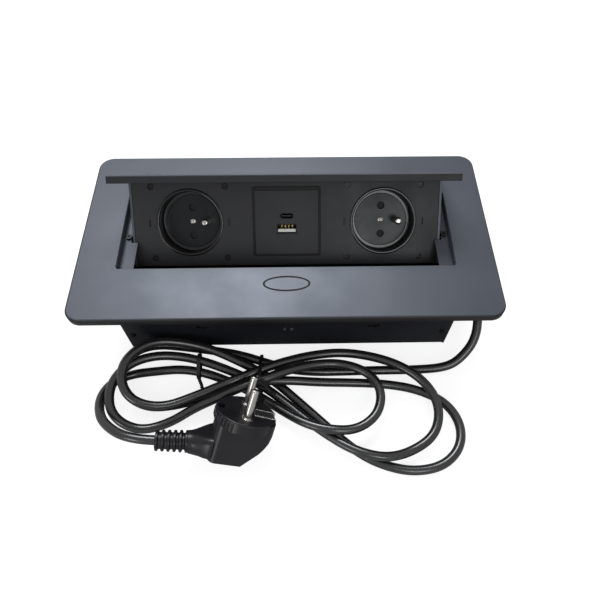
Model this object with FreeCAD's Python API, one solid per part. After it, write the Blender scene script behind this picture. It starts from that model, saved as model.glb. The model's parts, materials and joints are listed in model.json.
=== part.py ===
import FreeCAD, Part
import math
import os

# Furniture socket box: a frame plate let into a desk top, a steel tub hung below it, and a module
# that tilts up out of the opening with a lid, two round sockets and a charger. A bundled mains
# lead lies in front of it. All sizes are millimetres.
# Origin: middle of the frame in plan, at the underside of the tub. +X right, +Y rear, +Z up.
# The module is drawn closed, lid flush with the frame, and is then swung open about its pivot.

V = FreeCAD.Vector
X_AXIS = V(1, 0, 0)
Y_AXIS = V(0, 1, 0)
Z_AXIS = V(0, 0, 1)

# Frame plate and its opening
opening_width = 215.0
opening_depth = 61.3
side_margin = 25.5
front_margin = 37.2
rear_margin = 35.5
frame_thickness = 6.0
frame_corner_radius = 9.0
frame_edge_round = 0.7
opening_corner_radius = 1.5
opening_edge_chamfer = 0.5
rear_relief_depth = 3.0
frame_rebate = 0.3
rebate_gap = 0.5
oval_length = 29.0
oval_width = 11.0
oval_line = 0.7
oval_depth = 0.25

# Module: lid, panel and cheeks
lid_gap = 0.5
lid_thickness = 2.0
lid_rear_edge = 0.5
lip_height = 4.0
lip_depth = 3.0
lid_skin = 0.9
panel_before_pivot = 43.0
panel_thickness = 2.5
panel_height = 57.8
module_inset = 5.5
cheek_thickness = 1.5
cover_wall = 1.2
tab_thickness = 1.2
module_depth = 34.5
floor_clearance = 2.0
open_angle = 45.0
pivot_behind_opening = 10.0
pivot_above_socket = 8.9
pivot_radius = 3.0
hub_radius = 7.0
swing_clearance = 0.5

# Sheet steel tub
sheet = 1.2
tub_side_overlap = 2.5
tub_inset = 14.0
tub_flange = 9.0
tub_bend_radius = 1.5
rail_thickness = 1.2
rail_wide = 10.3
rail_narrow = 5.8
rail_overlap = 6.5
knockout_spacing = 114.0
knockout_height = 27.0
knockout_length = 9.0
knockout_width = 6.0

# Sockets
socket_from_side = 43.7
collar_radius = 22.0
collar_rise = 0.6
recess_radius = 20.0
cup_wall = 1.3
recess_depth = 12.0
disc_radius = 17.8
disc_step = 0.6
disc_thickness = 1.4
holder_radius = 17.0
shutter_thickness = 1.0
pin_spacing = 19.0
pin_hole_radius = 2.45
earth_offset = 10.0
earth_radius = 2.4
earth_length = 14.0
contact_wall = 0.45
contact_length = 13.5
screw_offset_x = 24.0
screw_offset_z = 23.4
panel_screw_radius = 1.9
fit_gap = 0.2
small_gap = 0.05

# Charger
charger_half = 21.2
charger_rise = -0.2
charger_gap = 0.8
charger_flange = 2.4
charger_wall = 1.2
charger_plate = 2.0
usb_a_width = 13.2
usb_a_height = 6.2
usb_a_below = 4.6
usb_c_width = 9.2
usb_c_height = 3.6
usb_c_above = 3.9
usb_shell = 0.4
tongue_low = 0.6
tongue_top = 2.6

# Damper gears
gear_module = 1.0
sector_teeth = 24
pinion_teeth = 10
gear_play = 0.2
gear_width = 2.0
damper_direction = 250.0
sector_spare = 14.0
damper_radius = 8.0

# Latch
latch_radius = 6.5
striker_radius = 1.5
striker_behind_panel = 5.5
striker_above_floor = 14.0
latch_slot = 3.8
latch_mouth = 5.4

# Mains lead and its plug
cord_radius = 3.0
arc_share = 0.45
lead_from_wall = 53.0
plug_turns = (-43.7, 16.67, -7.7)
plug_place = (-24.52, -112.84, 30.7)
plug_radius = 18.5
plug_depth = 32.0
plug_half_thickness = 12.5
plug_pin_radius = 2.4
plug_pin_length = 19.0
relief_length = 19.5
relief_radius = 5.2
relief_ring_radius = 6.8
relief_depth = 22.7
relief_start = 29.6
relief_droop = 10.7
tie_width = 2.6
tie_thickness = 0.8

# Heights
tub_height = sheet + floor_clearance + panel_height + lid_thickness - frame_thickness
frame_under = tub_height
frame_top = frame_under + frame_thickness
tub_top = frame_under + frame_rebate
lid_under = frame_top - lid_thickness
module_bottom = sheet + floor_clearance
socket_z = module_bottom + panel_height / 2
pivot_z = socket_z + pivot_above_socket

# Plan places
frame_width = opening_width + 2 * side_margin
frame_depth = front_margin + opening_depth + rear_margin
tub_width = opening_width + 2 * tub_side_overlap
tub_depth = frame_depth - 2 * tub_inset
end_inner = tub_width / 2 - sheet
wall_inner = tub_depth / 2 - sheet
opening_front = front_margin - frame_depth / 2
opening_rear = frame_depth / 2 - rear_margin
pivot_y = opening_rear + pivot_behind_opening
lid_front = opening_front + lid_gap
lid_half = opening_width / 2 - lid_gap
panel_front = pivot_y - panel_before_pivot
panel_back = panel_front + panel_thickness
module_half = opening_width / 2 - module_inset
cheek_inner = module_half - cheek_thickness
cover_rear = panel_front + module_depth
socket_pitch = opening_width - 2 * socket_from_side
lead_shift = lead_from_wall - tub_depth / 2
floor_front = panel_front + recess_depth
floor_back = floor_front + disc_thickness + cup_wall + 0.2


def box(x0, x1, y0, y1, z0, z1):
    return Part.makeBox(x1 - x0, y1 - y0, z1 - z0, V(x0, y0, z0))


def rod(radius, start, axis, length):
    return Part.makeCylinder(radius, length, V(*start), axis)


def tube(outer, inner, start, axis, length):
    return rod(outer, start, axis, length).cut(rod(inner, start, axis, length))


def prism_x(points, x0, x1):
    """A polygon of (y, z) points pushed from x0 to x1."""
    loop = [V(x0, y, z) for y, z in points]
    face = Part.Face(Part.makePolygon(loop + [loop[0]]))
    return face.extrude(V(x1 - x0, 0, 0))


def turn_about(centre, point, degrees):
    """A (y, z) point turned about a centre, counterclockwise seen from +X."""
    angle = math.radians(degrees)
    dy = point[0] - centre[0]
    dz = point[1] - centre[1]
    return (centre[0] + dy * math.cos(angle) - dz * math.sin(angle),
            centre[1] + dy * math.sin(angle) + dz * math.cos(angle))


def mirror_x(shape):
    return shape.mirror(V(0, 0, 0), X_AXIS)


def swung(shape):
    """The shape carried with the module from closed to fully open."""
    moved = shape.copy()
    moved.rotate(V(0, pivot_y, pivot_z), X_AXIS, -open_angle)
    return moved


def edges_where(shape, test):
    return [edge for edge in shape.Edges if test(edge)]


def along(edge, axis):
    if not isinstance(edge.Curve, Part.Line):
        return False
    return abs(abs(edge.tangentAt(edge.FirstParameter).dot(axis)) - 1) < 1e-6


def group(shapes):
    return Part.makeCompound(shapes)


def screw(start, axis, head_radius, head_height, shank_radius, length):
    """A pan-head screw with its head's top at start and a cross recess; axis points into the work."""
    head = rod(head_radius, start, axis, head_height)
    shank = rod(shank_radius, start, axis, length)
    solid = head.fuse(shank)
    slot = Part.makeBox(head_radius * 1.3, head_radius * 0.32, head_height * 0.5)
    slot.translate(V(-head_radius * 0.65, -head_radius * 0.16, 0))
    cross = slot.fuse(slot.rotated(V(0, 0, 0), Z_AXIS, 90))
    cross.Placement = FreeCAD.Placement(V(*start), FreeCAD.Rotation(Z_AXIS, axis)).multiply(cross.Placement)
    return solid.cut(cross).removeSplitter()


# Frame plate

def top_frame():
    plate = box(-frame_width / 2, frame_width / 2, -frame_depth / 2, frame_depth / 2, frame_under, frame_top)
    plate = plate.makeFillet(frame_corner_radius, edges_where(plate, lambda e: along(e, Z_AXIS)))
    rim = edges_where(plate, lambda e: abs(e.BoundBox.ZMin - frame_top) < 1e-6)
    plate = plate.makeFillet(frame_edge_round, rim)
    hole = box(-opening_width / 2, opening_width / 2, opening_front, opening_rear, frame_under - 1, frame_top + 1)
    hole = hole.makeFillet(opening_corner_radius, edges_where(hole, lambda e: along(e, Z_AXIS)))
    plate = plate.cut(hole)
    inside = edges_where(plate, lambda e: abs(e.BoundBox.ZMin - frame_top) < 1e-6
                         and abs(e.BoundBox.ZMax - frame_top) < 1e-6
                         and e.BoundBox.XMax < opening_width / 2 + 0.01
                         and e.BoundBox.XMin > -opening_width / 2 - 0.01
                         and e.BoundBox.YMax < opening_rear + 0.01
                         and e.BoundBox.YMin > opening_front - 0.01)
    plate = plate.makeChamfer(opening_edge_chamfer, inside)
    relief = box(-module_half - 1.5, module_half + 1.5, opening_rear - 5, pivot_y + 1,
                 frame_under - 1, frame_under + rear_relief_depth)
    rebate = box(-tub_width / 2 - rebate_gap, tub_width / 2 + rebate_gap, -tub_depth / 2 - rebate_gap,
                 tub_depth / 2 + rebate_gap, frame_under - 1, tub_top)
    plate = plate.cut(relief).cut(rebate)
    oval_y = opening_front - front_margin * 0.344
    ring = oval_disc(oval_length / 2, oval_width / 2).cut(
        oval_disc(oval_length / 2 - oval_line, oval_width / 2 - oval_line))
    ring.translate(V(0, oval_y, frame_top - oval_depth))
    return plate.cut(ring)


def oval_disc(long_radius, short_radius):
    curve = Part.Ellipse(V(0, 0, 0), long_radius, short_radius)
    face = Part.Face(Part.Wire([curve.toShape()]))
    return face.extrude(V(0, 0, oval_depth + 1))


def frame_screws():
    """Screws up through the tub's inward flanges into the frame."""
    solids = []
    for y in (-tub_depth / 2 + tub_flange * 0.6, tub_depth / 2 - tub_flange * 0.5):
        for x in (-0.36 * tub_width, 0.0, 0.36 * tub_width):
            start = (x, y, tub_top - sheet - 1.6)
            solids.append(screw(start, Z_AXIS, 2.6, 1.6, 1.4, 1.6 + sheet + 2.0))
    return group(solids)


def cut_frame_for_screws(plate):
    for y in (-tub_depth / 2 + tub_flange * 0.6, tub_depth / 2 - tub_flange * 0.5):
        for x in (-0.36 * tub_width, 0.0, 0.36 * tub_width):
            plate = plate.cut(rod(1.4 + small_gap, (x, y, tub_top - 0.1), Z_AXIS, 2.6))
    return plate


# Tub

def knockout(y0, y1, x):
    slot = box(x - (knockout_length - knockout_width) / 2, x + (knockout_length - knockout_width) / 2,
               y0, y1, knockout_height - knockout_width / 2, knockout_height + knockout_width / 2)
    for side in (-1, 1):
        centre = (x + side * (knockout_length - knockout_width) / 2, y0, knockout_height)
        slot = slot.fuse(rod(knockout_width / 2, centre, Y_AXIS, y1 - y0))
    return slot


def housing_tub():
    half = tub_depth / 2
    outer = [(-half, 0), (half, 0), (half, tub_top), (half - tub_flange, tub_top),
             (half - tub_flange, tub_top - sheet), (half - sheet, tub_top - sheet),
             (half - sheet, sheet), (-half + sheet, sheet), (-half + sheet, tub_top - sheet),
             (-half + tub_flange, tub_top - sheet), (-half + tub_flange, tub_top),
             (-half, tub_top)]
    tub = prism_x(outer, -end_inner, end_inner)
    bends = edges_where(tub, lambda e: along(e, X_AXIS) and abs(e.BoundBox.ZMin) < 1e-6)
    tub = tub.makeFillet(tub_bend_radius, bends)
    for x in (-knockout_spacing / 2, knockout_spacing / 2):
        tub = tub.cut(knockout(-half - 1, -half + sheet + 1, x))
        tub = tub.cut(knockout(half - sheet - 1, half + 1, x))
    for y in (-tub_depth / 2 + tub_flange * 0.6, tub_depth / 2 - tub_flange * 0.5):
        for x in (-0.36 * tub_width, 0.0, 0.36 * tub_width):
            tub = tub.cut(rod(1.4 + small_gap, (x, y, tub_top - sheet - 1), Z_AXIS, sheet + 2))
    for start, axis in wall_screw_places():
        tub = tub.cut(rod(1.3 + small_gap, start, axis, 6.0))
    for x in (-2.4, 2.4):
        tub = tub.cut(rod(0.9, (x, -half - 1, rivet_height()), Y_AXIS, sheet + 2))
    for slot_x in range(-4, 5):
        vent = box(slot_x * 18.0 - 5, slot_x * 18.0 + 5, 36, 38, -1, sheet + 1)
        tub = tub.cut(vent)
    return tub


def rivet_height():
    return knockout_height - 4.2


def front_rivets():
    """Two small rivets that hold the earth strap to the front wall."""
    solids = []
    for x in (-2.4, 2.4):
        shank = rod(0.9 - small_gap, (x, -tub_depth / 2 - 0.5, rivet_height()), Y_AXIS, sheet + 1.2)
        head = rod(1.4, (x, -tub_depth / 2 - 0.5, rivet_height()), Y_AXIS, 0.5)
        tail = rod(1.4, (x, -wall_inner, rivet_height()), Y_AXIS, 0.7)
        solids.append(shank.fuse([head, tail]).removeSplitter())
    return group(solids)


def wall_screw_places():
    """Start points outside the walls and directions into the end plates' flanges."""
    places = []
    for x in (-end_inner + 3.6, end_inner - 3.6):
        for z in (0.3 * tub_height, 0.77 * tub_height):
            places.append(((x, -tub_depth / 2 - 1.0, z), Y_AXIS))
            places.append(((x, tub_depth / 2 + 1.0, z), Y_AXIS * -1))
    return places


def housing_screws():
    solids = [screw(start, axis, 1.7, 1.0, 1.3, 1.0 + 2 * sheet + 1.5) for start, axis in wall_screw_places()]
    return group(solids)


def end_plate(side):
    """Side sheet with flanges bent in along the front, rear and top edges."""
    wall = box(end_inner, end_inner + sheet, -tub_depth / 2, tub_depth / 2, 0, tub_top)
    reach = end_inner - 7.5
    under_ledge = tub_top - rail_thickness - sheet
    front = box(reach, end_inner + 0.1, -wall_inner, -wall_inner + sheet, sheet, under_ledge)
    rear = box(reach, end_inner + 0.1, wall_inner - sheet, wall_inner, sheet, under_ledge)
    ledge = box(end_inner - 5.6, end_inner + 0.1, -wall_inner, wall_inner, under_ledge, under_ledge + sheet)
    plate = wall.fuse([front, rear, ledge]).removeSplitter()
    rounded = edges_where(plate, lambda e: along(e, Y_AXIS) and abs(e.BoundBox.ZMin) < 1e-6
                          and e.BoundBox.XMax > end_inner + sheet - 0.01)
    plate = plate.makeFillet(0.8, rounded)
    plate = plate.cut(rod(bushing_radius() + small_gap, (end_inner - 1, pivot_y, pivot_z), X_AXIS, sheet + 2))
    plate = plate.cut(rod(1.25 + small_gap, rail_screw_start(1), Z_AXIS * -1, 12))
    for start, axis in wall_screw_places():
        if start[0] > 0:
            plate = plate.cut(rod(1.3 + small_gap, start, axis, 8.0))
    if side > 0:
        plate = plate.cut(gland_sleeve(gland_radius() + small_gap))
        return plate
    stud_y, stud_z = latch_centre()
    plate = plate.cut(rod(2.0 + small_gap, (end_inner - 1, stud_y, stud_z), X_AXIS, sheet + 2))
    return mirror_x(plate)


def rail_screw_start(side):
    return (side * (end_inner - 4.1), panel_front + 0.5, tub_top + 1.4)


def rail_notch():
    """Where the open panel's front passes the rail's underside, less a clearance."""
    drop = tub_top - rail_thickness - pivot_z
    angle = math.radians(open_angle)
    reach = (pivot_y - panel_front - drop * math.sin(angle)) / math.cos(angle)
    return pivot_y - reach - 2 * swing_clearance


def side_rail(side):
    """Ledge seen inside the end of the opening, notched where the module swings past."""
    notch_y = rail_notch()
    front = box(end_inner - rail_wide, end_inner, opening_front - rail_overlap, notch_y,
                tub_top - rail_thickness, tub_top)
    rear = box(end_inner - rail_narrow, end_inner, notch_y - 1, opening_rear + rail_overlap,
               tub_top - rail_thickness, tub_top)
    rail = front.fuse(rear).removeSplitter()
    rail = rail.cut(rod(1.25 + small_gap, rail_screw_start(1), Z_AXIS * -1, 12))
    if side > 0:
        return rail
    return mirror_x(rail)


def rail_screws():
    return group([screw(rail_screw_start(side), Z_AXIS * -1, 2.0, 1.4, 1.25, 2.4 + rail_thickness + sheet)
                  for side in (-1, 1)])


def bushing_radius():
    return pivot_radius + 1.5


def pivot_bushing(side):
    start_x = module_half + 2.4
    body = rod(bushing_radius(), (start_x, pivot_y, pivot_z), X_AXIS, end_inner + sheet - start_x)
    collar = rod(bushing_radius() + 1.6, (end_inner + sheet, pivot_y, pivot_z), X_AXIS, 1.2)
    bore = rod(pivot_radius + small_gap, (start_x - 1, pivot_y, pivot_z), X_AXIS, end_inner + sheet - start_x + 1.6)
    bushing = body.fuse(collar).cut(bore).removeSplitter()
    if side > 0:
        return bushing
    return mirror_x(bushing)


def torsion_spring():
    """Coil round the left bushing that lifts the module, with a leg to the tub and one to the cheek."""
    wire = 0.5
    mean = bushing_radius() + 0.4 + wire
    first_x = -end_inner + 0.3 + wire
    turns = 3
    pitch = 1.15
    helix = Part.makeHelix(pitch, pitch * turns, mean)
    section = Part.Wire([Part.makeCircle(wire, V(mean, 0, 0), Y_AXIS)])
    coil = Part.Wire(helix).makePipeShell([section], True, False)
    coil.rotate(V(0, 0, 0), Y_AXIS, 90)
    coil.translate(V(first_x, pivot_y, pivot_z))
    low_leg = rod(wire * 0.96, (first_x, pivot_y, pivot_z - mean), Y_AXIS, 8.5)
    far_x = first_x + pitch * turns
    high_leg = rod(wire * 0.96, (far_x, pivot_y, pivot_z - mean), Y_AXIS * -1, 8.5)
    return coil.fuse([low_leg, high_leg])


# Damper

def gear_outline(teeth, phase):
    """Corner points of a straight-flanked gear, first tooth centred on phase, as (y, z)."""
    pitch_radius = gear_module * teeth / 2
    root = pitch_radius - 1.05 * gear_module
    tip = pitch_radius + 0.75 * gear_module
    points = []
    for index in range(teeth):
        centre = math.radians(phase) + 2 * math.pi * index / teeth
        for radius, half in ((root, -0.78), (tip, -0.3), (tip, 0.3), (root, 0.78)):
            angle = centre + half * gear_module / radius
            points.append((radius * math.cos(angle), radius * math.sin(angle)))
    return points


def pinion_centre():
    reach = gear_module * (sector_teeth + pinion_teeth) / 2 + gear_play
    angle = math.radians(damper_direction)
    return (pivot_y + reach * math.cos(angle), pivot_z + reach * math.sin(angle))


def sector_gear():
    """Drawn as it stands open, a tooth gap facing the pinion, so it isn't swung afterwards."""
    gap_phase = damper_direction + 180.0 / sector_teeth
    wheel = prism_x(gear_outline(sector_teeth, gap_phase), 0, gear_width)
    start = math.radians(damper_direction - open_angle - sector_spare)
    stop = math.radians(damper_direction + sector_spare)
    steps = 6
    fan = [(0.0, 0.0)]
    for index in range(steps + 1):
        angle = start + (stop - start) * index / steps
        fan.append((20.0 * math.cos(angle), 20.0 * math.sin(angle)))
    wedge = prism_x(fan, 0, gear_width)
    hub = rod(hub_radius, (0, 0, 0), X_AXIS, gear_width)
    gear = wheel.common(wedge.fuse(hub))
    gear = gear.cut(rod(pivot_radius + small_gap, (-1, 0, 0), X_AXIS, gear_width + 2))
    gear.translate(V(module_half, pivot_y, pivot_z))
    return gear


def damper_gear():
    wheel = prism_x(gear_outline(pinion_teeth, damper_direction + 180.0), 0, gear_width)
    shaft = rod(1.2, (gear_width - 0.1, 0, 0), X_AXIS, 3.6)
    gear = wheel.fuse(shaft)
    centre = pinion_centre()
    gear.translate(V(module_half + 0.3, centre[0], centre[1]))
    return gear


def damper_body():
    start_x = module_half + 0.3 + gear_width + 0.3
    centre = pinion_centre()
    body = rod(damper_radius, (start_x, centre[0], centre[1]), X_AXIS, end_inner - start_x)
    edge = edges_where(body, lambda e: e.BoundBox.XMax < start_x + 0.01)
    body = body.makeFillet(0.8, edge)
    return body.cut(rod(1.2 + small_gap, (start_x - 1, centre[0], centre[1]), X_AXIS, 5.0))


# Latch

def striker_place():
    return (panel_front + striker_behind_panel, module_bottom + striker_above_floor)


def arrival_direction():
    """The way the striker moves as the module closes: counterclockwise about the pivot."""
    dy = striker_place()[0] - pivot_y
    dz = striker_place()[1] - pivot_z
    size = math.hypot(dy, dz)
    return (-dz / size, dy / size)


def latch_centre():
    place = striker_place()
    way = arrival_direction()
    return (place[0] + latch_radius * way[0], place[1] + latch_radius * way[1])


def latch_striker():
    place = striker_place()
    pin = rod(striker_radius, (-module_half - 4.5, place[0], place[1]), X_AXIS, 4.5 + cheek_thickness)
    rivet = rod(striker_radius + 1, (-cheek_inner, place[0], place[1]), X_AXIS, 0.8)
    return pin.fuse(rivet).removeSplitter()


def latch_cam():
    """Disc with a mouth for the striker and a curved slot that holds it once the disc has turned."""
    centre = latch_centre()
    x0 = -module_half - 4.2
    thick = 3.0
    disc = rod(latch_radius + 3.1, (x0, centre[0], centre[1]), X_AXIS, thick)
    way = arrival_direction()
    facing = math.degrees(math.atan2(-way[1], -way[0]))
    mouth = box(x0 - 1, x0 + thick + 1, latch_radius - 0.2, latch_radius + 6, -latch_mouth / 2, latch_mouth / 2)
    mouth = mouth.fuse(rod(latch_mouth / 2, (x0 - 1, latch_radius, 0), X_AXIS, thick + 2))
    ring = tube(latch_radius + latch_slot / 2, latch_radius - latch_slot / 2, (x0 - 1, 0, 0), X_AXIS, thick + 2)
    fan = [(0, 0), (20, 0), (20 * math.cos(math.radians(-26)), 20 * math.sin(math.radians(-26))),
           (20 * math.cos(math.radians(-52)), 20 * math.sin(math.radians(-52)))]
    arc = ring.common(prism_x(fan, x0 - 1, x0 + thick + 1))
    end_angle = math.radians(-52)
    end = rod(latch_slot / 2, (x0 - 1, latch_radius * math.cos(end_angle), latch_radius * math.sin(end_angle)),
              X_AXIS, thick + 2)
    slot = mouth.fuse([arc, end])
    slot.rotate(V(0, 0, 0), X_AXIS, facing)
    slot.translate(V(0, centre[0], centre[1]))
    cam = disc.cut(slot)
    return cam.cut(rod(2.0 + small_gap, (x0 - 1, centre[0], centre[1]), X_AXIS, thick + 2))


def latch_stud():
    centre = latch_centre()
    head_x = -module_half - 0.3
    pin = rod(2.0, (-end_inner - sheet, centre[0], centre[1]), X_AXIS, end_inner + sheet + head_x - 0.1)
    shoulder = rod(3.2, (-end_inner, centre[0], centre[1]), X_AXIS, end_inner - module_half - 4.4)
    return pin.fuse(shoulder).removeSplitter()


# Mains entry

def gland_radius():
    return cord_radius + 2.4


def gland_axis():
    return V(1, -1, 0).normalize()


gland_y = -8.0
gland_z = 36.0
gland_reach = 6.4
gland_inside = 2.6


def gland_middle():
    return V(end_inner + sheet / 2, gland_y, gland_z)


def gland_sleeve(radius):
    start = gland_middle() - gland_axis() * gland_inside
    return Part.makeCylinder(radius, gland_inside + gland_reach, start, gland_axis())


def cord_gland():
    """Angled sleeve through the right end plate with a flange on the outside."""
    sleeve = gland_sleeve(gland_radius())
    flange = box(end_inner + sheet, end_inner + sheet + 1.5, gland_y - 11, gland_y + 8, gland_z - 8, gland_z + 8)
    flange = flange.makeFillet(2.0, edges_where(flange, lambda e: along(e, X_AXIS)))
    body = sleeve.fuse(flange)
    blind = Part.makeCylinder(cord_radius + small_gap, gland_reach + 4.0, lead_start(), gland_axis())
    return body.cut(blind).removeSplitter()


def gland_mouth():
    return gland_middle() + gland_axis() * gland_reach


def lead_start():
    """Where the lead's end stops against the floor of the sleeve."""
    return gland_middle() - gland_axis() * 1.2


def terminal_block():
    """Three-way screw terminal on the tub's floor, in front of the module."""
    x0 = end_inner - 34.8
    y0 = -wall_inner + 6.0
    body = box(x0, x0 + 27, y0, y0 + 14, sheet, sheet + 11)
    body = body.makeFillet(0.8, edges_where(body, lambda e: along(e, Z_AXIS)))
    for index in range(3):
        well = rod(2.3, (x0 + 4.5 + 9 * index, y0 + 7, sheet + 6), Z_AXIS, 6)
        entry = rod(1.8, (x0 + 4.5 + 9 * index, y0 + 8, sheet + 3.4), Y_AXIS, 7)
        body = body.cut(well.fuse(entry))
    return body


def terminal_screws():
    x0 = end_inner - 34.8
    y0 = -wall_inner + 6.0
    starts = [(x0 + 4.5 + 9 * index, y0 + 7, sheet + 8.5) for index in range(3)]
    return group([screw(start, Z_AXIS * -1, 2.2, 1.2, 1.3, 2.5) for start in starts])


def earth_stud():
    """Threaded stud on the tub floor with a nut, for the earth wire."""
    x = end_inner - 48.8
    stud = rod(2.0, (x, -wall_inner + 14, sheet), Z_AXIS, 9)
    corners = []
    for index in range(7):
        angle = math.radians(60 * index)
        corners.append(V(x + 4.0 * math.cos(angle), -wall_inner + 14 + 4.0 * math.sin(angle), sheet + 1.0))
    nut = Part.Face(Part.makePolygon(corners)).extrude(V(0, 0, 3.2))
    washer = rod(4.4, (x, -wall_inner + 14, sheet), Z_AXIS, 1.0)
    return stud.fuse([nut, washer])


# Lid and cheeks

def swing_radius():
    """How far the frame's rear opening edge stays from the pivot, with clearance added."""
    reach = max(math.hypot(pivot_behind_opening, frame_top - opening_edge_chamfer - pivot_z),
                math.hypot(pivot_behind_opening - opening_edge_chamfer, frame_top - pivot_z))
    return reach + swing_clearance


def lid_rear():
    """Rear end of the lid, clear of the frame's edge at the foot of its short upright face."""
    rise = frame_top - lid_rear_edge - pivot_z
    return pivot_y - math.sqrt(swing_radius() ** 2 - rise ** 2)


def lid_rear_under():
    rise = lid_under - pivot_z
    return pivot_y - math.sqrt(swing_radius() ** 2 - rise ** 2)


def lid_plate():
    outline = [(lid_front + 1.2, lid_under), (lid_front + 1.2, frame_top - lid_skin), (lid_front, frame_top - lid_skin),
               (lid_front, frame_top), (lid_rear(), frame_top), (lid_rear(), frame_top - lid_rear_edge),
               (lid_rear_under(), lid_under)]
    lid = prism_x(outline, -lid_half, lid_half)
    upright = edges_where(lid, lambda e: along(e, Z_AXIS) and e.BoundBox.YMax < lid_front + 0.01)
    lid = lid.makeFillet(1.0, upright)
    rim = edges_where(lid, lambda e: abs(e.BoundBox.ZMin - frame_top) < 1e-6 and e.BoundBox.YMin < lid_rear() - 1)
    return lid.makeChamfer(0.3, rim)


def lid_lip():
    """Dark strip along the lid's front edge, under its thin skin."""
    low = frame_top - lid_skin - lip_height
    outline = [(lid_front, low), (lid_front + lip_depth, low), (lid_front + lip_depth, lid_under),
               (lid_front + 1.2, lid_under), (lid_front + 1.2, frame_top - lid_skin),
               (lid_front, frame_top - lid_skin)]
    lip = prism_x(outline, -lid_half, lid_half)
    front = edges_where(lip, lambda e: along(e, Z_AXIS) and e.BoundBox.YMax < lid_front + 0.01)
    return lip.makeFillet(0.9, front)


def step_height():
    """Top of the module's rear part, clear of the frame's relieved underside when open."""
    corner = turn_about((pivot_y, pivot_z), (opening_rear, frame_under + rear_relief_depth), open_angle)
    return corner[1] - 2 * swing_clearance


def step_back():
    """Rear of the module's upper part, clear of the frame's top edge when open."""
    corner = turn_about((pivot_y, pivot_z), (opening_rear, frame_top), open_angle)
    return corner[0] - swing_clearance - 0.4


def cheek(side):
    """Side sheet of the module, necked so that the frame's rear edge passes between lid and hub."""
    under_y = pivot_y - math.sqrt(swing_radius() ** 2 - (lid_under - pivot_z) ** 2)
    arc_middle = turn_about((pivot_y, pivot_z), (under_y, lid_under), open_angle * 0.5)
    arc_end = turn_about((pivot_y, pivot_z), (under_y, lid_under), open_angle * 0.92)
    outline = [(panel_front, module_bottom), (panel_front, lid_under), (under_y, lid_under),
               arc_middle, (step_back(), arc_end[1]), (step_back(), step_height()),
               (step_back() + 3.4, step_height()), (pivot_y - 4, pivot_z + hub_radius * 0.85),
               (pivot_y, pivot_z + hub_radius), (pivot_y, pivot_z),
               (pivot_y + hub_radius, pivot_z), (cover_rear, module_bottom + 12), (cover_rear, module_bottom)]
    sheet_body = prism_x(outline, cheek_inner, module_half)
    hub = rod(hub_radius, (cheek_inner, pivot_y, pivot_z), X_AXIS, cheek_thickness)
    tab = box(cheek_inner - 6, cheek_inner + 0.1, panel_back + 1, step_back() - 2,
              lid_under - tab_thickness, lid_under)
    plate = sheet_body.fuse([hub, tab]).removeSplitter()
    plate = plate.cut(rod(pivot_radius + small_gap, (cheek_inner - 1, pivot_y, pivot_z), X_AXIS, 4))
    if side > 0:
        return plate
    place = striker_place()
    plate = plate.cut(rod(striker_radius, (cheek_inner - 1, place[0], place[1]), X_AXIS, 4))
    return mirror_x(plate)


def pivot_pin(side):
    """Pin through the cheek, its head inside the module and its free end in the bushing."""
    length = end_inner + sheet - cheek_inner + 0.2
    pin = rod(pivot_radius, (cheek_inner, pivot_y, pivot_z), X_AXIS, length)
    head = rod(pivot_radius + 2, (cheek_inner - 1.2, pivot_y, pivot_z), X_AXIS, 1.2)
    solid = pin.fuse(head).removeSplitter()
    if side > 0:
        return solid
    return mirror_x(solid)


def socket_centres():
    return [-socket_pitch / 2, socket_pitch / 2]


def charger_middle():
    return socket_z - 0.6


def face_panel():
    panel = box(-cheek_inner, cheek_inner, panel_front, panel_back, module_bottom, lid_under)
    rim = edges_where(panel, lambda e: abs(e.BoundBox.YMax - panel_front) < 1e-6)
    panel = panel.makeChamfer(0.4, rim)
    middle = charger_middle()
    hole = charger_half + charger_gap
    window = box(-hole, hole, panel_front - 1, panel_back + 1, middle - hole, middle + hole)
    window = window.makeFillet(1.2, edges_where(window, lambda e: along(e, Y_AXIS)))
    panel = panel.cut(window)
    for centre in socket_centres():
        panel = panel.cut(rod(recess_radius + cup_wall + fit_gap, (centre, panel_front - 1, socket_z),
                              Y_AXIS, panel_thickness + 2))
        for side in (-1, 1):
            notch_x = centre + side * (collar_radius + 3.9)
            panel = panel.cut(box(notch_x - 0.7, notch_x + 0.7, panel_front - 1, panel_front + 1.2,
                                  socket_z - 2.4, socket_z + 2.4))
    for x, z in panel_screw_places():
        panel = panel.cut(rod(panel_screw_radius + fit_gap, (x, panel_front - 1, z), Y_AXIS, 2.7))
        panel = panel.cut(rod(1.1 + small_gap, (x, panel_front, z), Y_AXIS, panel_thickness + 1))
    return panel


def panel_screw_places():
    places = []
    for centre in socket_centres():
        for side in (-1, 1):
            for rise in (-screw_offset_z, screw_offset_z):
                places.append((centre + side * screw_offset_x, socket_z + rise))
    return places


def panel_screws():
    solids = []
    for x, z in panel_screw_places():
        solids.append(screw((x, panel_front + 0.9, z), Y_AXIS, panel_screw_radius, 0.8, 1.1, panel_thickness + 1.0))
    return group(solids)


def cover_outline(inset):
    top = lid_under - tab_thickness - 0.1 - inset
    step = step_height() - inset
    back = step_back() - inset
    return [(panel_back, module_bottom + inset), (cover_rear - inset, module_bottom + inset),
            (cover_rear - inset, step), (back, step), (back, top), (panel_back, top)]


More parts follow.
